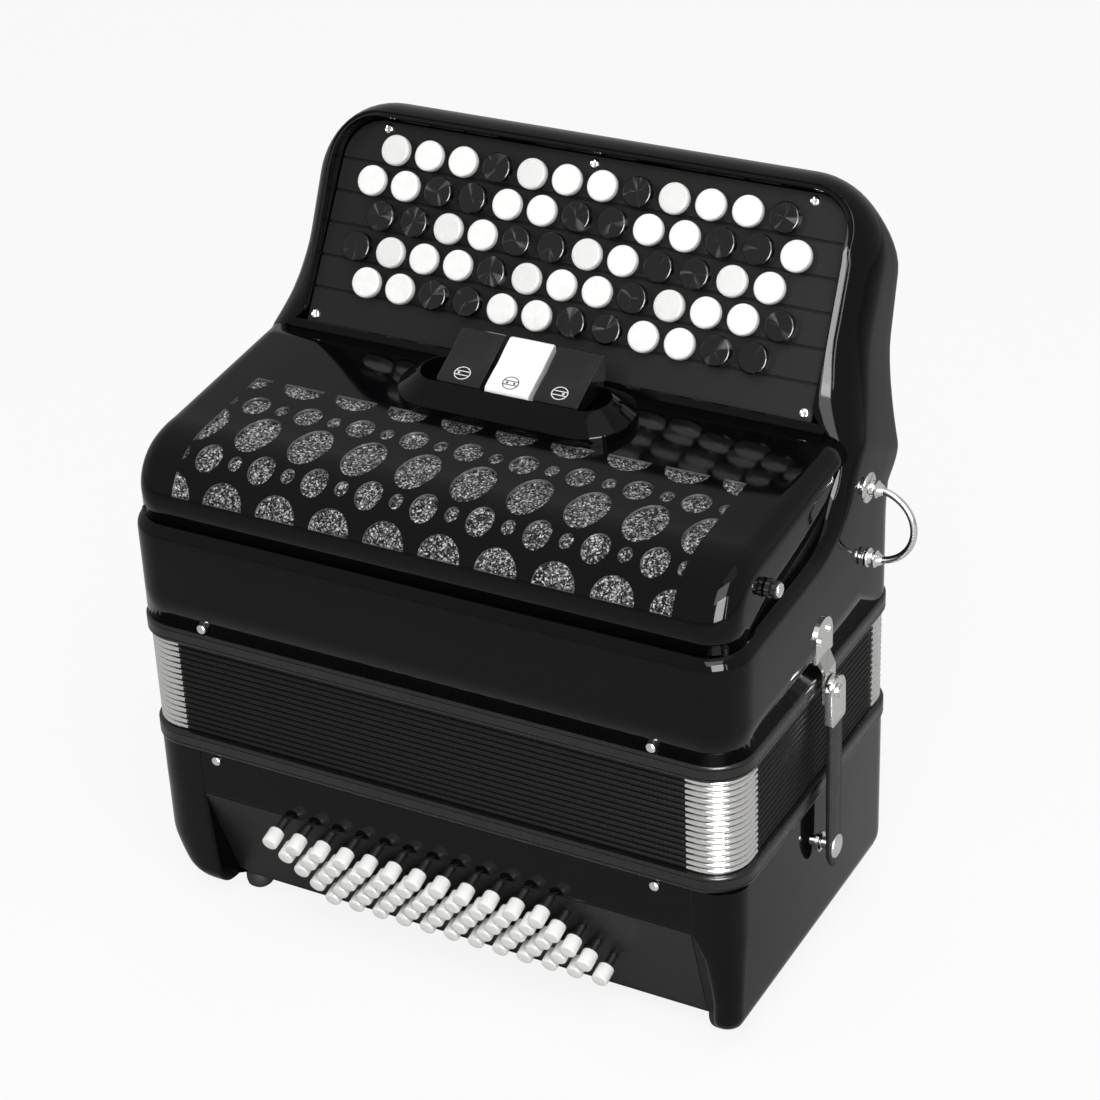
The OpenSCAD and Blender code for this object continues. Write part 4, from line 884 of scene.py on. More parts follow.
BOARD_HALF, BOARD_TOP, BOARD_FOOT, BOARD_R = 136.6, 47.6, -57.0, 20.0
GROOVES = (26.5, 10.0, -6.0, -22.8, -39.0)
section = [(BOARD_FOOT, -3.5), (BOARD_FOOT, -0.3), (BOARD_FOOT + 0.3, 0.0)]
for groove in GROOVES[::-1]:
    section += [(groove - 0.75, 0.0), (groove - 0.45, -0.3), (groove - 0.4, -1.3),
                (groove + 0.4, -1.3), (groove + 0.45, -0.15), (groove + 0.6, 0.0)]
section += [(v, 0.0) for v in BOARD_TOP - BOARD_R
            + BOARD_R * np.sin(np.radians(np.linspace(4, 86, 12)))]
section += [(BOARD_TOP, -0.3), (BOARD_TOP, -3.5)]
rows = []
for v, out in section:
    bend = max(0.0, v - (BOARD_TOP - BOARD_R))
    half = BOARD_HALF - BOARD_R + math.sqrt(max(0.0, BOARD_R ** 2 - bend ** 2))
    xs = ([-half, -half, -half + 0.3] + list(np.linspace(-half + 3, half - 3, 5))
          + [half - 0.3, half, half])
    drops = [-3.5, -0.3, 0] + [0] * 5 + [0, -0.3, -3.5]
    rows.append([on_board(x, min(out, drop) if drop < -1 else out + drop, v)
                 for x, drop in zip(xs, drops)])
columns = len(rows[0])
points = [p for row in rows for p in row]
faces = grid_faces(len(rows), columns) + [
    [i * columns for i in range(len(rows))] +
    [i * columns + columns - 1 for i in range(len(rows) - 1, -1, -1)]]
join_piece("button_board_strips", points, faces, satin, "treble_side", 30, ["button_board"],
           "satin_board")

# Cross-head screws, nickel plated, in the board's corners and at the top of its middle.


def cross_head(r, h):
    """A low domed screw head with a cross-shaped recess, and a short shank below."""
    turns = [2 * math.pi * i / 24 for i in range(24)]
    cross = [0.62 if i % 6 in (5, 0, 1) else 0.3 if i % 6 in (2, 4) else 0.24 for i in range(24)]
    points = []
    for scale, z in ((0.5, -2.0), (0.5, 0.0), (1.0, 0.0), (1.0, h * 0.35), (0.9, h * 0.75),
                     (0.75, h)):
        points += [(r * scale * math.cos(t), r * scale * math.sin(t), z) for t in turns]
    for z in (h, h * 0.2):
        points += [(r * c * math.cos(t), r * c * math.sin(t), z) for c, t in zip(cross, turns)]
    return points, grid_faces(8, 24, True) + [list(range(24)), [168 + i for i in range(24)]]


board_normal = (0, board_out[0], board_out[1])
screw_spots = [on_board(x, 0.02, BOARD_TOP - 3.7) for x in (-114.5, 0, 114.5)]
screw_spots += [on_board(s * (BOARD_HALF - 4.1), 0.02, BOARD_FOOT + 4.1) for s in (-1, 1)]
set_out_parts("board_screws", cross_head(2.5, 1.1), screw_spots, board_normal, nickel,
              "treble_side", 1.5, ["treble_screws"])
set_out_parts("groove_screws", cross_head(2.2, 1.0),
              [(s * 154.0, 27.0, COVER_Z - 11.5) for s in (-1, 1)],
              [(s, 0, 0) for s in (-1, 1)], nickel, "treble_side", 1.5, ())

# -------------------------------------------------------------------------------- treble buttons
# Sixty-two round buttons in five rows, white or black by the note. Each is a turned disc of
# pearl acrylic pressed onto a dark collar. Every row slides in by itself.


def pearl_wedges(tree, at, scale, detail):
    """A fan of wedges round the middle of each button, different from button to button."""
    own = add(tree, "Attribute", {}, attribute_name="own",
              attribute_type="GEOMETRY").outputs["Vector"]
    flat_own = add(tree, "VectorMath", {0: own, 1: (1, 1, 0)}, operation="MULTIPLY").outputs[0]
    outward = add(tree, "VectorMath", {0: flat_own}, operation="NORMALIZE").outputs[0]
    moved = add(tree, "VectorMath", {0: at, 1: (40.0, 40.0, 40.0)}, operation="MULTIPLY").outputs[0]
    fan_at = add(tree, "VectorMath", {0: outward, 1: moved}, operation="ADD").outputs[0]
    return add(tree, "TexNoise", {"Vector": fan_at, "Scale": scale, "Detail": detail}).outputs[0]


# White pearl acrylic: nearly white, glossy, with a faint fan of warmer and cooler wedges.
white_pearl, tree, at = start_material("white_pearl_acrylic")
fan = pearl_wedges(tree, at, 1.6, 2.0)
tint = add(tree, "Mix", {0: fan, 6: "#ebeae7", 7: "#fdfdfc"}, data_type="RGBA").outputs[2]
gloss = add(tree, "MapRange", {"Value": fan, "To Min": 0.1, "To Max": 0.2}).outputs[0]
finish_surface(tree, tint, gloss)

# Black pearl acrylic: the same disc in black, with a few lighter grey wedges from the middle that are
# partly a pearl streak and partly a painted reflection of the lamps.
black_pearl, tree, at = start_material("black_pearl_acrylic")
fan = pearl_wedges(tree, at, 1.3, 3.0)
# Lighter wedges: a pearl streak and a painted reflection together.
streak_and_painted_reflection = add(tree, "MapRange", {"Value": fan, "From Min": 0.55, "From Max": 0.72},
            interpolation_type="SMOOTHSTEP").outputs[0]
tint = add(tree, "Mix", {0: streak_and_painted_reflection, 6: "#050505", 7: "#5a5a5e"}, data_type="RGBA").outputs[2]
gloss = add(tree, "MapRange", {"Value": fan, "To Min": 0.05, "To Max": 0.16}).outputs[0]
finish_surface(tree, tint, gloss)

# The marker notes are white and cross-hatched, cut 0.95 mm apart, so a finger can find them.
hatched_pearl, tree, at = start_material("hatched_white_acrylic")
own = add(tree, "Attribute", {}, attribute_name="own", attribute_type="GEOMETRY")
along = add(tree, "SeparateXYZ", {0: own.outputs["Vector"]})
waves = []
for axis in (0, 1):
    turns = add(tree, "Math", {0: along.outputs[axis], 1: 2 * math.pi / 0.95},
                operation="MULTIPLY").outputs[0]
    waves.append(add(tree, "Math", {0: turns}, operation="SINE").outputs[0])
deeper = add(tree, "Math", {0: waves[0], 1: waves[1]}, operation="MAXIMUM").outputs[0]
cuts = add(tree, "MapRange", {"Value": deeper, "From Min": 0.8, "From Max": 1.0, "To Min": 1.0,
                              "To Max": 0.0}).outputs[0]
# The cuts are painted a darker grey as painted shade in the grooves.
tint = add(tree, "Mix", {0: cuts, 6: "#dcdbd8", 7: "#f8f8f6"}, data_type="RGBA").outputs[2]
gloss = add(tree, "MapRange", {"Value": cuts, "To Min": 0.5, "To Max": 0.25}).outputs[0]
finish_surface(tree, tint, gloss, cuts, 0.12)

PITCH, ROW_GAP, CAP_R, CAP_H, RISE, COLLAR_R = 19.0, 16.64, 7.6, 4.2, 8.0, 6.2
WHITE = ((1, 1, 1, 0), (1, 1, 0, 0), (0, 0, 1, 1), (0, 1, 1, 1), (1, 1, 0, 0))
MARKED = {0: (0, 4, 8), 2: (2, 6, 10), 3: (1, 5, 9)}
cap = lathe([(3.1, 0.1), (CAP_R - 0.45, 0.0), (CAP_R - 0.1, 0.25), (CAP_R, 0.7),
             (CAP_R, CAP_H - 1.3),
             (CAP_R - 0.12, CAP_H - 0.75), (CAP_R - 0.45, CAP_H - 0.3), (CAP_R - 1.0, CAP_H - 0.08),
             (CAP_R - 1.7, CAP_H - 0.02), (3.5, CAP_H - 0.15), (0.4, CAP_H - 0.2)], 30)
collar = lathe([(COLLAR_R, -3.0), (COLLAR_R, RISE - CAP_H - 0.6),
                (COLLAR_R - 0.5, RISE - CAP_H - 0.1), (3.0, RISE - CAP_H - 0.1)], 24)
for row in range(5):
    count = 13 if row in (1, 3) else 12
    spots = {"white": [], "black": [], "marked": [], "collars": []}
    for i in range(count):
        x, up = (i - (count - 1) / 2) * PITCH, (2 - row) * ROW_GAP
        kind = "marked" if i in MARKED.get(row, ()) else "white" if WHITE[row][i % 4] else "black"
        spots[kind].append(on_board(x, RISE - CAP_H, up))
        spots["collars"].append(on_board(x, 0, up))
    for kind, part, material, slot in (("white", cap, white_pearl, "white_button"),
                                       ("black", cap, black_pearl, "black_button"),
                                       ("marked", cap, hatched_pearl, "white_button"),
                                       ("collars", collar, acetal, "black_button")):
        if spots[kind]:
            set_out_parts(f"treble_{kind}_{row + 1}", part, spots[kind], board_normal, material,
                          f"treble_row_{row + 1}", 0.0 if kind == "marked" else 3.1,
                          [f"treble_buttons_row_{row + 1}"] if kind in ("white", "marked") else ())

# ------------------------------------------------------------------------------------- registers
# Three rocking tabs change the reed sets. They stand in a long oval plinth on the cover, lacquered
# like it, whose rim slopes in to an oval well. Each tab carries the usual sign of its voice.
COVER_TILT = math.atan(COVER_SLOPE)
cover_along = np.array([math.cos(COVER_TILT), math.sin(COVER_TILT)])
cover_up = np.array([-math.sin(COVER_TILT), math.cos(COVER_TILT)])
PLINTH_Y = 11.5
plinth_at = np.array([PLINTH_Y, COVER_Z + COVER_SLOPE * PLINTH_Y])


def on_cover(x, back_of, up):
    """A point by its place across the plinth, behind its middle, and over the cover."""
    p = plinth_at + cover_along * back_of + cover_up * up
    return (x, p[0], p[1])


def stadium(half_l, r, steps=14):
    """The outline of a long oval: two half circles joined by straight sides."""
    return arc(half_l - r, 0, r, r, -90, 90, steps) + arc(-half_l + r, 0, r, r, 90, 270, steps)


rings = []
for inset, up in ((0.0, 0.1), (0.0, 4.6), (0.25, 5.1), (0.8, 5.5), (6.0, 9.0), (10.8, 12.3),
                  (11.4, 12.5), (11.8, 12.3), (12.0, 11.8), (12.2, 3.4)):
    rings.append([on_cover(x, y, up) for x, y in stadium(61.5 - inset, 22.9 - inset)])
join_piece("register_plinth_oval", *tube(rings), lacquer, "treble_side", 24, ["register_plinth"],
           "register_black")

# Black moulded plastic: an even gloss with a slight waviness from the mould.
tab_black = mottled("black_moulded_abs", 6, 2.0, ("#0d0d0e", "#161617"), (0.1, 0.18), 0.02)
TAB_HALF, TAB_STEP, TAB_FRONT, TAB_BACK, TAB_RISE = 11.75, 26.0, -9.3, 22.0, 12.1
TAB_SLOPE = math.radians(22.5)


def tab_height(back_of):
    """The height of a tab's sloping top over the cover."""
    return TAB_RISE + (back_of - TAB_FRONT) * math.tan(TAB_SLOPE)


def register_tab(name, middle, body, node, material, slot, dished):
    """A wedge with rounded edges: low front edge, sloping top, and a back that turns down."""
    top = [(TAB_FRONT + 0.25, TAB_RISE - 0.5), (TAB_FRONT + 0.9, tab_height(TAB_FRONT + 0.9) - 0.1)]
    top += [(y, tab_height(y)) for y in np.linspace(TAB_FRONT + 2.5, TAB_BACK - 3.4, 9)]
    top += [(TAB_BACK - 2.2, tab_height(TAB_BACK - 2.4)),
            (TAB_BACK - 1.0, tab_height(TAB_BACK - 2.4) - 0.5),
            (TAB_BACK - 0.2, tab_height(TAB_BACK - 2.4) - 1.7)]
    under = [(TAB_BACK, 12.4), (16.2, 6.2), (TAB_FRONT + 0.2, 6.6), (TAB_FRONT, TAB_RISE - 1.4)]
    section = top + under
    mid = np.mean(np.array(section), axis=0)
    rows = []
    for x, shrink in ([(-TAB_HALF, 0.8), (-TAB_HALF + 0.25, 0.3), (-TAB_HALF + 0.8, 0.0)]
                      + [(x, 0.0) for x in np.linspace(-TAB_HALF + 2.2, TAB_HALF - 2.2, 9)]
                      + [(TAB_HALF - 0.8, 0.0), (TAB_HALF - 0.25, 0.3), (TAB_HALF, 0.8)]):
        row = []
        for i, (y, z) in enumerate(section):
            toward = mid - np.array([y, z])
            toward /= np.linalg.norm(toward)
            dip = 0.0
            if dished and i < len(top) - 2:
                reach_y = (min(1.0, max(0.0, (y - 0.5) / 3.0))
                           * min(1.0, max(0.0, (TAB_BACK - 3.5 - y) / 3.0)))
                dip = 1.1 * reach_y * max(0.0, 1 - (x / (TAB_HALF - 1.4)) ** 6)
            row.append(on_cover(middle + x, y + toward[0] * shrink, z + toward[1] * shrink - dip))
        rows.append(row)
    join_piece(name, *tube(rows), material, body, 28, [node], slot)


for step, body, dished in ((-1, "low", True), (0, "master", False), (1, "high", True)):
    register_tab(f"register_tab_{body}_moulding", step * TAB_STEP, f"register_{body}",
                 f"register_tab_{body}", tab_black if dished else white_acrylic,
                 "register_black" if dished else "white_button", dished)

# The signs are filled with paint in shallow cuts: a ring with two bars, and dots for the reeds.
sign_white = mottled("white_filling_paint", 0.5, 2.0, ("#cfcfcc", "#f2f2f0"), (0.3, 0.5), 0.01)
sign_black = mottled("black_filling_paint", 0.5, 2.0, ("#0c0c0c", "#202020"), (0.3, 0.5), 0.01)
SIGN_R, SIGN_Y, SIGN_LINE, SIGN_FLAT = 4.3, -3.6, 0.5, 0.86


def on_tab(middle, x, y, lift):
    """A point on a tab's sloping top, from the middle of its sign."""
    s = SIGN_Y + y * math.cos(TAB_SLOPE)
    return on_cover(middle + x, s - lift * math.sin(TAB_SLOPE),
                    tab_height(s) + lift * math.cos(TAB_SLOPE))


for step, body, dots in ((-1, "low", (-1.9,)), (0, "master", (-1.9, 1.9)), (1, "high", (1.9,))):
    points, faces = [], []
    bands = [[((SIGN_R - w) * math.cos(t), (SIGN_R - w) * SIGN_FLAT * math.sin(t))
              for t in np.linspace(0, 2 * math.pi, 41)]
             for w in (0, SIGN_LINE)]
    bar_half = SIGN_R * math.sqrt(1 - (1.25 / (SIGN_R * SIGN_FLAT)) ** 2) - 0.1
    bars = [[(x, y + w) for x in np.linspace(-1, 1, 7) * bar_half]
            for y in (-1.3, 0.9) for w in (0, 0.45)]
    shapes = [(bands[0], bands[1]), (bars[0], bars[1]), (bars[2], bars[3])]
    for dot in dots:
        shapes.append(([(dot + 0.62 * math.cos(t), 0.62 * math.sin(t))
                        for t in np.linspace(0, 2 * math.pi, 13)],
                       [(dot + 0.05 * math.cos(t), 0.05 * math.sin(t))
                        for t in np.linspace(0, 2 * math.pi, 13)]))
    for outer, inner in shapes:
        first, n = len(points), len(outer)
        for lift in (-0.15, 0.07):
            for line in (outer, inner):
                points += [on_tab(step * TAB_STEP, x, y, lift) for x, y in line]
        faces += grid_faces(2, n, False, first + 2 * n) + grid_faces(2, n, False, first)
        faces += [(first + i, first + i + 1, first + 2 * n + i + 1, first + 2 * n + i)
                  for i in range(n - 1)]
        faces += [(first + n + i, first + n + i + 1, first + 3 * n + i + 1, first + 3 * n + i)
                  for i in range(n - 1)]
    join_piece(f"register_sign_{body}", points, faces, sign_black if step == 0 else sign_white,
               f"register_{body}", 40, (), "white_button" if step else "black_button")

# ---------------------------------------------------------------------------------- thumb screws
# A knurled thumb screw at each end holds the cover down: two ribbed black rings with a bright cap.
THUMB_Y, THUMB_Z, THUMB_R, RIB_DEPTH = -51.0, COVER_FOOT + 17, 4.5, 0.09


def knurled(r, x0, x1, ribs):
    """A ribbed ring, turned so that its axis points out of the end of the instrument."""
    rings = []
    for scale, x in ((0.8, x0), (1.0, x0 + 0.4), (1.0, x1 - 0.4), (0.8, x1)):
        turns = [(r * scale * (1.0 - RIB_DEPTH * (i % 2)), math.pi * i / ribs)
                 for i in range(2 * ribs)]
        rings.append([(out * math.cos(t), out * math.sin(t), x) for out, t in turns])
    return tube(rings)


thumb_spots = [(s * COVER_HALF, THUMB_Y, THUMB_Z) for s in (-1, 1)]
thumb_facing = [(s, 0, 0) for s in (-1, 1)]
set_out_parts("thumb_screw_rings", knurled(THUMB_R, 0.2, 3.0, 14), thumb_spots, thumb_facing,
              acetal, "treble_side", 0, ["cover_thumb_screws"], 25)
set_out_parts("thumb_screw_knobs", knurled(THUMB_R - 0.3, 3.2, 6.2, 12), thumb_spots, thumb_facing,
              acetal, "treble_side", 0, (), 25)
set_out_parts("thumb_screw_caps",
              lathe([(3.4, 6.0), (3.4, 6.8), (3.0, 7.3), (2.0, 7.55), (0.3, 7.6)], 22), thumb_spots,
              thumb_facing, nickel, "treble_side", 0, ())

# ----------------------------------------------------------------------------------- strap rings
# A ring at each end takes the shoulder strap: bent steel wire, plated, whose two legs are screwed
# into the casing through turned ferrules, the upper one on a domed washer.
RING_Y, RING_Z, RING_HALF, RING_REACH, WIRE_R = 54.7, TREBLE_Z0 + 51.1, 18.7, 23.0, 1.7
path = [(HALF_L - 4, RING_HALF), (HALF_L + 3, RING_HALF)]
path += [(HALF_L + 4.5 + (RING_REACH - 4.5) * math.cos(t), RING_HALF * math.sin(t))
         for t in np.radians(np.linspace(90, -90, 33))]
path += [(HALF_L + 3, -RING_HALF), (HALF_L - 4, -RING_HALF)]
points, faces = [], []
for sign in (-1, 1):
    first = len(points)
    for i, (x, z) in enumerate(path):
        low, high = path[max(0, i - 1)], path[min(len(path) - 1, i + 1)]
        along = np.array([high[0] - low[0], high[1] - low[1]]) / math.dist(low, high)
        out = (-along[1], along[0])
        points += [(sign * (x + out[0] * WIRE_R * math.cos(a)), RING_Y + WIRE_R * math.sin(a),
                    RING_Z + z + out[1] * WIRE_R * math.cos(a))
                   for a in np.linspace(0, 2 * math.pi, 17)[:-1]]
    faces += grid_faces(len(path), 16, True, first)
    faces += [[first + i for i in range(16)], [first + (len(path) - 1) * 16 + i for i in range(16)]]
join_piece("strap_ring_wires", points, faces, nickel, "treble_side", 50, ["strap_rings"], "chrome")
ends = [(sign * HALF_L, RING_Y, RING_Z + leg * RING_HALF) for sign in (-1, 1) for leg in (-1, 1)]
end_facing = [(sign, 0, 0) for sign in (-1, 1) for _ in (-1, 1)]
ferrule = lathe([(4.7, 0.1), (4.9, 0.6), (4.7, 1.3), (4.0, 1.8), (3.7, 3.2), (4.3, 3.8),
                 (4.3, 4.6), (3.4, 5.3), (2.5, 7.2), (2.2, 7.6)], 28)
set_out_parts("strap_ring_ferrules", ferrule, ends, end_facing, nickel, "treble_side", 0, ())
washer = lathe([(7.5, 0.05), (7.4, 0.5), (6.4, 1.2), (5.0, 1.6), (4.6, 1.7)], 34)
set_out_parts("strap_ring_washers", washer, [p for p in ends if p[2] > RING_Z],
              [(-1, 0, 0), (1, 0, 0)], nickel, "treble_side", 0, ())

# -------------------------------------------------------------------------------- bellows straps
# A strap at each end keeps the bellows closed: two layers of black leather stitched together,
# riveted into a nickel buckle above, and snapped to a stud on the bass casing below.
# Vegetable-tanned leather, dyed black: pebbled grain about 0.9 mm, dull, worn shiny on its heights.
leather, tree, at = start_material("black_dyed_leather")
pebble = add(tree, "TexVoronoi", {"Vector": at, "Scale": 1000 / 0.9}, feature="SMOOTH_F1")
age = add(tree, "TexNoise", {"Vector": at, "Scale": 1000 / 12, "Detail": 3.0}).outputs[0]
tint = add(tree, "Mix", {0: age, 6: "#0d0d0d", 7: "#191918"}, data_type="RGBA").outputs[2]
gloss = add(tree, "MapRange", {"Value": age, "To Min": 0.34, "To Max": 0.58}).outputs[0]
finish_surface(tree, tint, gloss, pebble.outputs["Distance"], 0.15)

# Waxed thread, dark grey, a strand about 0.7 mm thick.
thread, tree, at = start_material("waxed_thread")
ply = add(tree, "TexWave", {"Vector": at, "Scale": 1000 / 1.6, "Distortion": 1.0})
tint = add(tree, "Mix", {0: ply.outputs["Fac"], 6: "#1a1a1a", 7: "#3c3c3c"},
           data_type="RGBA").outputs[2]
gloss = add(tree, "MapRange", {"Value": ply.outputs["Fac"], "To Min": 0.5,
                               "To Max": 0.7}).outputs[0]
finish_surface(tree, tint, gloss, ply.outputs["Fac"], 0.05)

STRAP_Y, STRAP_HALF, STRAP_T, STRAP_L = 2.0, 6.25, 2.7, 88.0
RIVET_Z = BELLOWS_Z1 - 0.4
SNAP_Z = RIVET_Z - STRAP_L
BUCKLE_X = HALF_L + 3 + 1.4 + 0.4
STRAP_X = BUCKLE_X + 0.8
stitch = tube([[(along, 0.35 * math.cos(a) * w, 0.3 * math.sin(a) * w)
                for a in np.linspace(0, 2 * math.pi, 6)[:-1]]
               for along, w in ((-1.1, 0.3), (-0.7, 1.0), (0.7, 1.0), (1.1, 0.3))])

for side_name, sx in (("right", 1), ("left", -1)):
    body = f"strap_{side_name}"
    heights = (list(np.linspace(RIVET_Z - 7.2, SNAP_Z - 3, 24))
               + list(np.linspace(SNAP_Z - 4, SNAP_Z - 11, 8)))
    rows = []
    for z in heights:
        half = STRAP_HALF - (STRAP_HALF - 2.0) * min(1.0, max(0.0, (SNAP_Z - 3 - z) / 8.0)) ** 1.3
        bow = 0.35 * math.sin(math.pi * (z - SNAP_Z) / STRAP_L) if z > SNAP_Z else 0.0
        section = [(-half, 0.5), (-half + 0.4, 0.0), (0, 0.0), (half - 0.4, 0.0), (half, 0.5),
                   (half, STRAP_T * 0.45),
                   (half - 0.25, STRAP_T * 0.5), (half, STRAP_T * 0.55), (half, STRAP_T - 0.5),
                   (half - 0.5, STRAP_T - 0.05),
                   (half - 1.6, STRAP_T - 0.22), (half * 0.5, STRAP_T), (-half * 0.5, STRAP_T),
                   (-half + 1.6, STRAP_T - 0.22),
                   (-half + 0.5, STRAP_T - 0.05), (-half, STRAP_T - 0.5), (-half, STRAP_T * 0.55),
                   (-half + 0.25, STRAP_T * 0.5), (-half, STRAP_T * 0.45)]
        rows.append([(sx * (STRAP_X + h - bow * (1 - h / STRAP_T)), STRAP_Y + y, z)
                     for y, h in section])
    join_piece(f"bellows_strap_{side_name}_leather", *tube(rows), leather, body, 50,
               [f"bellows_strap_{side_name}"], "leather")
    spots = [(sx * (STRAP_X + STRAP_T - 0.16), STRAP_Y + s * (STRAP_HALF - 1.6), z) for s in (-1, 1)
             for z in np.arange(SNAP_Z - 1, RIVET_Z - 19, 3.1)]
    set_out_parts(f"bellows_strap_{side_name}_stitches", stitch,
                  spots, (sx, 0, 0), thread, body, 0, ())
    # The buckle: a dished plate with a round top and a rolled edge, over the end of the leather
    half = STRAP_HALF + 1.6
    outline = arc(0, RIVET_Z, half, half, 0, 180, 18) + [
        (-half, RIVET_Z - 15.5), (-half + 1.2, RIVET_Z - 17),
        (half - 1.2, RIVET_Z - 17), (half, RIVET_Z - 15.5)]
    centre = np.array([0, RIVET_Z - 4])
    rings = []
    for inset, h in ((0.6, 0.0), (0.1, 0.3), (0.0, 1.0), (0.0, 3.1), (0.15, 3.9), (0.6, 4.25),
                     (1.2, 4.1), (1.7, 3.7), (5.0, 3.65)):
        ring = []
        for y, z in outline:
            toward = centre - np.array([y, z])
            d = np.linalg.norm(toward)
            ring.append((sx * (BUCKLE_X + h), STRAP_Y + y + toward[0] / d * min(inset, d),
                         z + toward[1] / d * min(inset, d)))
        rings.append(ring)
    join_piece(f"buckle_{side_name}", *tube(rings), nickel, body, 35, (), "chrome")
    set_out_parts(f"buckle_rivet_{side_name}", cross_head(3.4, 1.3),
                  [(sx * (BUCKLE_X + 3.62), STRAP_Y, RIVET_Z)],
                  (sx, 0, 0), nickel, body, 0, ())
    snap = lathe([(6.0, 0.05), (6.0, 0.6), (5.6, 1.1), (4.6, 1.45), (4.3, 1.3), (3.6, 1.55),
                  (1.6, 1.75), (0.2, 1.8)], 30)
    set_out_parts(f"snap_cap_{side_name}", snap, [(sx * (STRAP_X + STRAP_T), STRAP_Y, SNAP_Z)],
                  (sx, 0, 0), nickel, body, 0, ())

# The stud under each snap: a base washer, a dark ring and a neck, screwed to the bass casing.
stud = lathe([(5.0, 0.05), (5.0, 0.8), (4.4, 1.3), (3.4, 1.4), (3.0, 1.6), (3.0, 3.4), (3.4, 3.6),
              (3.4, 4.3), (2.9, 4.7), (2.9, 5.4)], 28)
stud_z = (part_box("strap_studs")[0].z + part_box("strap_studs")[1].z) * 500
set_out_parts("strap_stud_turnings", stud, [(s * HALF_L, STRAP_Y, stud_z) for s in (-1, 1)],
              [(s, 0, 0) for s in (-1, 1)], nickel, "bass_side", 0, ["strap_studs"])

# ------------------------------------------------------------------------------------ hand strap
# A wide strap across the bass end holds the player's hand. It is soft leather over a thin pad,
# clamped at both ends under nickel plates.
strap_low, strap_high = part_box("bass_hand_strap")
hand_half, hand_top = strap_high.x * 1000, strap_high.z * 1000
hand_y0, hand_y1 = strap_low.y * 1000 - MIDDLE, strap_high.y * 1000 - MIDDLE
hand_bottom, hand_mid = strap_low.z * 1000, (hand_y0 + hand_y1) / 2
LEATHER_T = 3.0


def hand_face(x):
    """The height of the strap's upper face along it, from the clamps down to the free part."""
    return hand_top - ease(hand_half - abs(x), 18, 40) * (hand_top - LEATHER_T - hand_bottom)


rows = []
for x in np.linspace(-hand_half, hand_half, 61):
    row = []
    for y, share in ((hand_y0, 0.5), (hand_y0 + 0.5, 0.15), (hand_y0 + 2.5, 0.05),
                     (hand_y0 + 5, 0.0), (hand_mid, 0.0), (hand_y1 - 5, 0.0), (hand_y1 - 2.5, 0.05),
                     (hand_y1 - 0.5, 0.15),
                     (hand_y1, 0.5), (hand_y1 - 0.5, 0.85), (hand_y1 - 2.5, 0.95),
                     (hand_y1 - 5, 1.0), (hand_mid, 1.0), (hand_y0 + 5, 1.0), (hand_y0 + 2.5, 0.95),
                     (hand_y0 + 0.5, 0.85)):
        inside = 1.2 * ease(abs(x), hand_half - 8, hand_half)
        y = y + (inside if y < hand_mid else -inside if y > hand_mid else 0)
        row.append((x, y, hand_face(x) - LEATHER_T * (1 - share)))
    rows.append(row)
hand_strap = join_piece("hand_strap_leather", *tube(rows), leather, "bass_side", 50,
                        ["bass_hand_strap"], "leather")
spots = [(x, y, hand_face(x) - LEATHER_T + 0.1)
         for x in np.arange(-hand_half + 22, hand_half - 22, 3.3)
         for y in (hand_y0 + 3.2, hand_y1 - 3.2)]
set_out_parts("hand_strap_stitches", stitch, spots,
              (0, 0, -1), thread, "bass_side", 0, ())

# --------------------------------------------------------------------------- fittings and inside
# The rings, brackets and anchors are bent and turned brass, nickel plated. Inside, the reed blocks
# and soundboards are planed spruce, and the reed plates are milled aluminium.
# Planed spruce: pale, with growth rings about 2.5 mm apart along the blocks.
spruce, tree, at = start_material("planed_spruce")
stretch = add(tree, "Mapping", {"Vector": at, "Scale": (0.06, 1.0, 1.0)}).outputs[0]
growth = add(tree, "TexNoise", {"Vector": stretch, "Scale": 1000 / 2.5, "Detail": 3.0}).outputs[0]
tint = add(tree, "Mix", {0: growth, 6: "#b98f5c", 7: "#dcbd8b"}, data_type="RGBA").outputs[2]
finish_surface(tree, tint, add(tree, "MapRange",
                               {"Value": growth, "To Min": 0.45, "To Max": 0.65}).outputs[0],
               growth, 0.05)

# Milled aluminium: light grey metal with fine straight tool marks.
aluminium, tree, at = start_material("milled_aluminium")
stretch = add(tree, "Mapping", {"Vector": at, "Scale": (0.1, 1.0, 4.0)}).outputs[0]
marks = add(tree, "TexNoise", {"Vector": stretch, "Scale": 1000 / 0.5, "Detail": 2.0}).outputs[0]
tint = add(tree, "Mix", {0: marks, 6: "#b4b5b6", 7: "#d2d3d4"}, data_type="RGBA").outputs[2]
finish_surface(tree, tint, add(tree, "MapRange",
                               {"Value": marks, "To Min": 0.25, "To Max": 0.45}).outputs[0], marks,
               0.01, Metallic=1.0)
refinish(nickel, "strap_brackets", "hand_strap_anchors")
refinish(spruce, "bass_soundboard", "treble_soundboard", "bass_reed_blocks", "treble_reed_blocks")
refinish(aluminium, "bass_reed_plates", "treble_reed_plates")
refinish(acetal, "air_button")

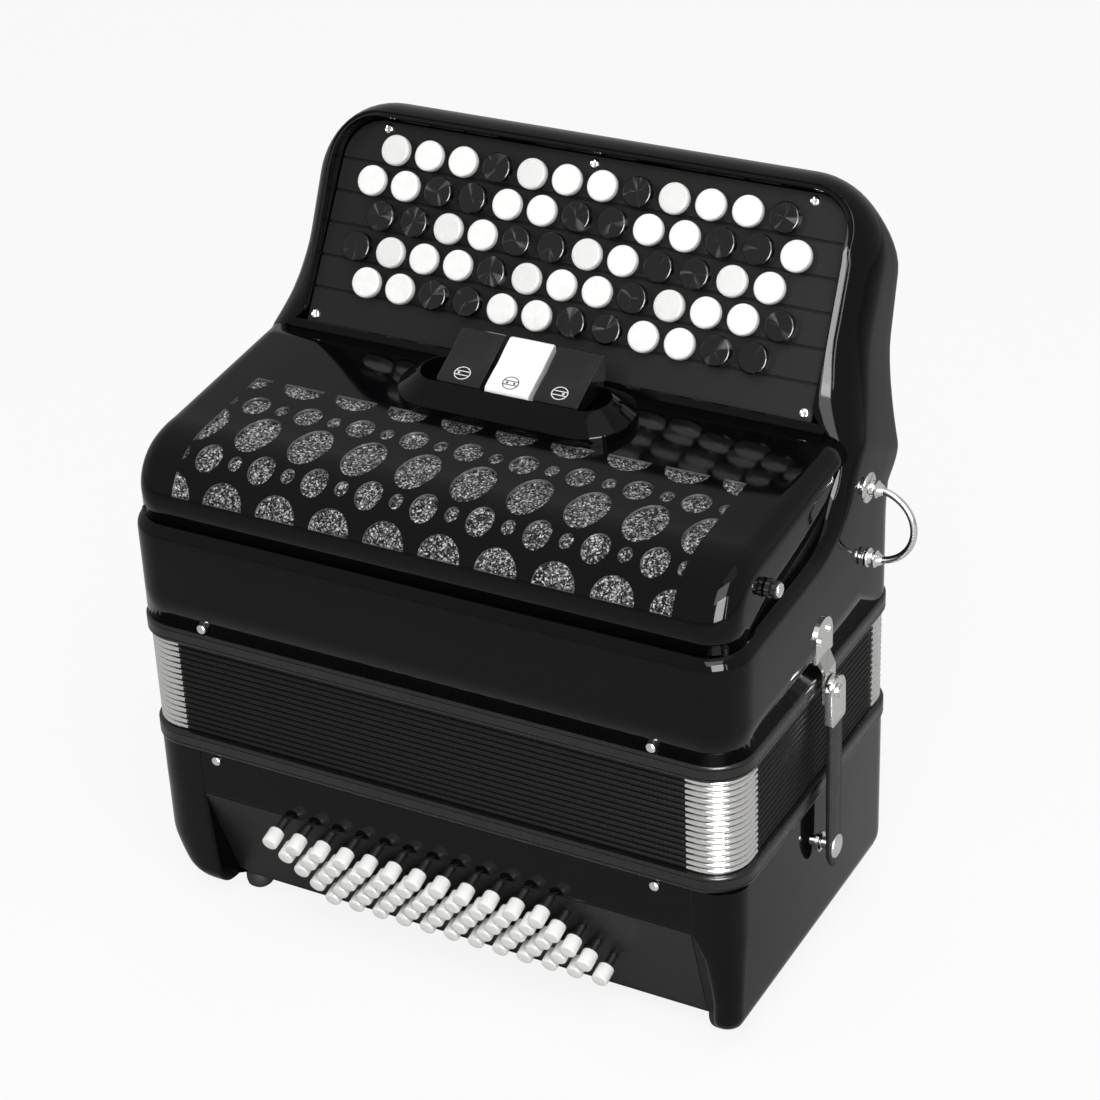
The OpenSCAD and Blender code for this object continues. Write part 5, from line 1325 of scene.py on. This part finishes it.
# ----------------------------------------------------------------------------------------- studio
# A 12 m sheet of matt white paper on the floor and a plain white room. Straight to the camera the
# paper and the room are drawn near white, and everything else sees them dimmer. Lamps: a large
# soft key from above in front, a tall strip and a thin edge strip that the lacquer mirrors, and
# a weak one from the top.
HALF_FLOOR = 6
floor_mesh = bpy.data.meshes.new("floor")
floor_mesh.from_pydata([(-HALF_FLOOR, -HALF_FLOOR, 0), (HALF_FLOOR, -HALF_FLOOR, 0),
                        (HALF_FLOOR, HALF_FLOOR, 0), (-HALF_FLOOR, HALF_FLOOR, 0)], [],
                       [(0, 1, 2, 3)])
floor = bpy.data.objects.new("floor", floor_mesh)
scene.collection.objects.link(floor)
paper, tree, at = start_material("white_paper_floor")
path = add(tree, "LightPath")
matte = add(tree, "BsdfDiffuse", {"Color": "#c8c8c8"})
glow = add(tree, "Emission", {"Color": "#ffffff", "Strength": 1.04})
half = add(tree, "MixShader", {0: 0.85, 1: matte.outputs[0], 2: glow.outputs[0]})
seen = add(tree, "MixShader", {0: path.outputs["Is Camera Ray"], 1: matte.outputs[0],
                               2: half.outputs[0]})
add(tree, "OutputMaterial", {"Surface": seen.outputs[0]})
floor_mesh.materials.append(paper)

world = bpy.data.worlds.new("studio")
scene.world = world
world.use_nodes = True
tree = world.node_tree
tree.nodes.clear()
path = add(tree, "LightPath")
plain = add(tree, "Background", {"Color": "#ffffff", "Strength": 0.55})
seen = add(tree, "Background", {"Color": "#ffffff", "Strength": 1.0})
choice = add(tree, "MixShader", {0: path.outputs["Is Camera Ray"], 1: plain.outputs[0],
                                 2: seen.outputs[0]})
add(tree, "OutputWorld", {"Surface": choice.outputs[0]})


def softbox(name, direction, distance, size, radiance, mirrored=False):
    """A soft lamp in a direction from the middle of the instrument, turned to face it. A mirrored
    one is only seen in glossy surfaces."""
    data = bpy.data.lights.new(name, "AREA")
    data.shape = "RECTANGLE"
    data.size, data.size_y = size
    data.energy = radiance * math.pi * size[0] * size[1]
    lamp = bpy.data.objects.new(name, data)
    ray = Vector(direction).normalized()
    middle = Vector(place((0, 0, 220))[0])
    facing = ray.to_track_quat("Z", "Y").to_matrix().to_4x4()
    lamp.matrix_world = Matrix.Translation(middle + ray * distance) @ facing
    lamp.visible_diffuse = not mirrored
    scene.collection.objects.link(lamp)


softbox("key_lamp", (0.35, -0.55, 0.76), 1.6, (0.9, 0.9), 6.5)
softbox("strip_lamp", (0.62, -0.75, 0.30), 1.5, (0.66, 1.1), 26, True)
softbox("edge_lamp", (0.85, -0.50, 0.24), 1.5, (0.05, 1.0), 13)
softbox("top_lamp", (0.3, -0.1, 0.95), 1.8, (1.0, 1.0), 0.6)
scene.view_settings.view_transform = "Standard"
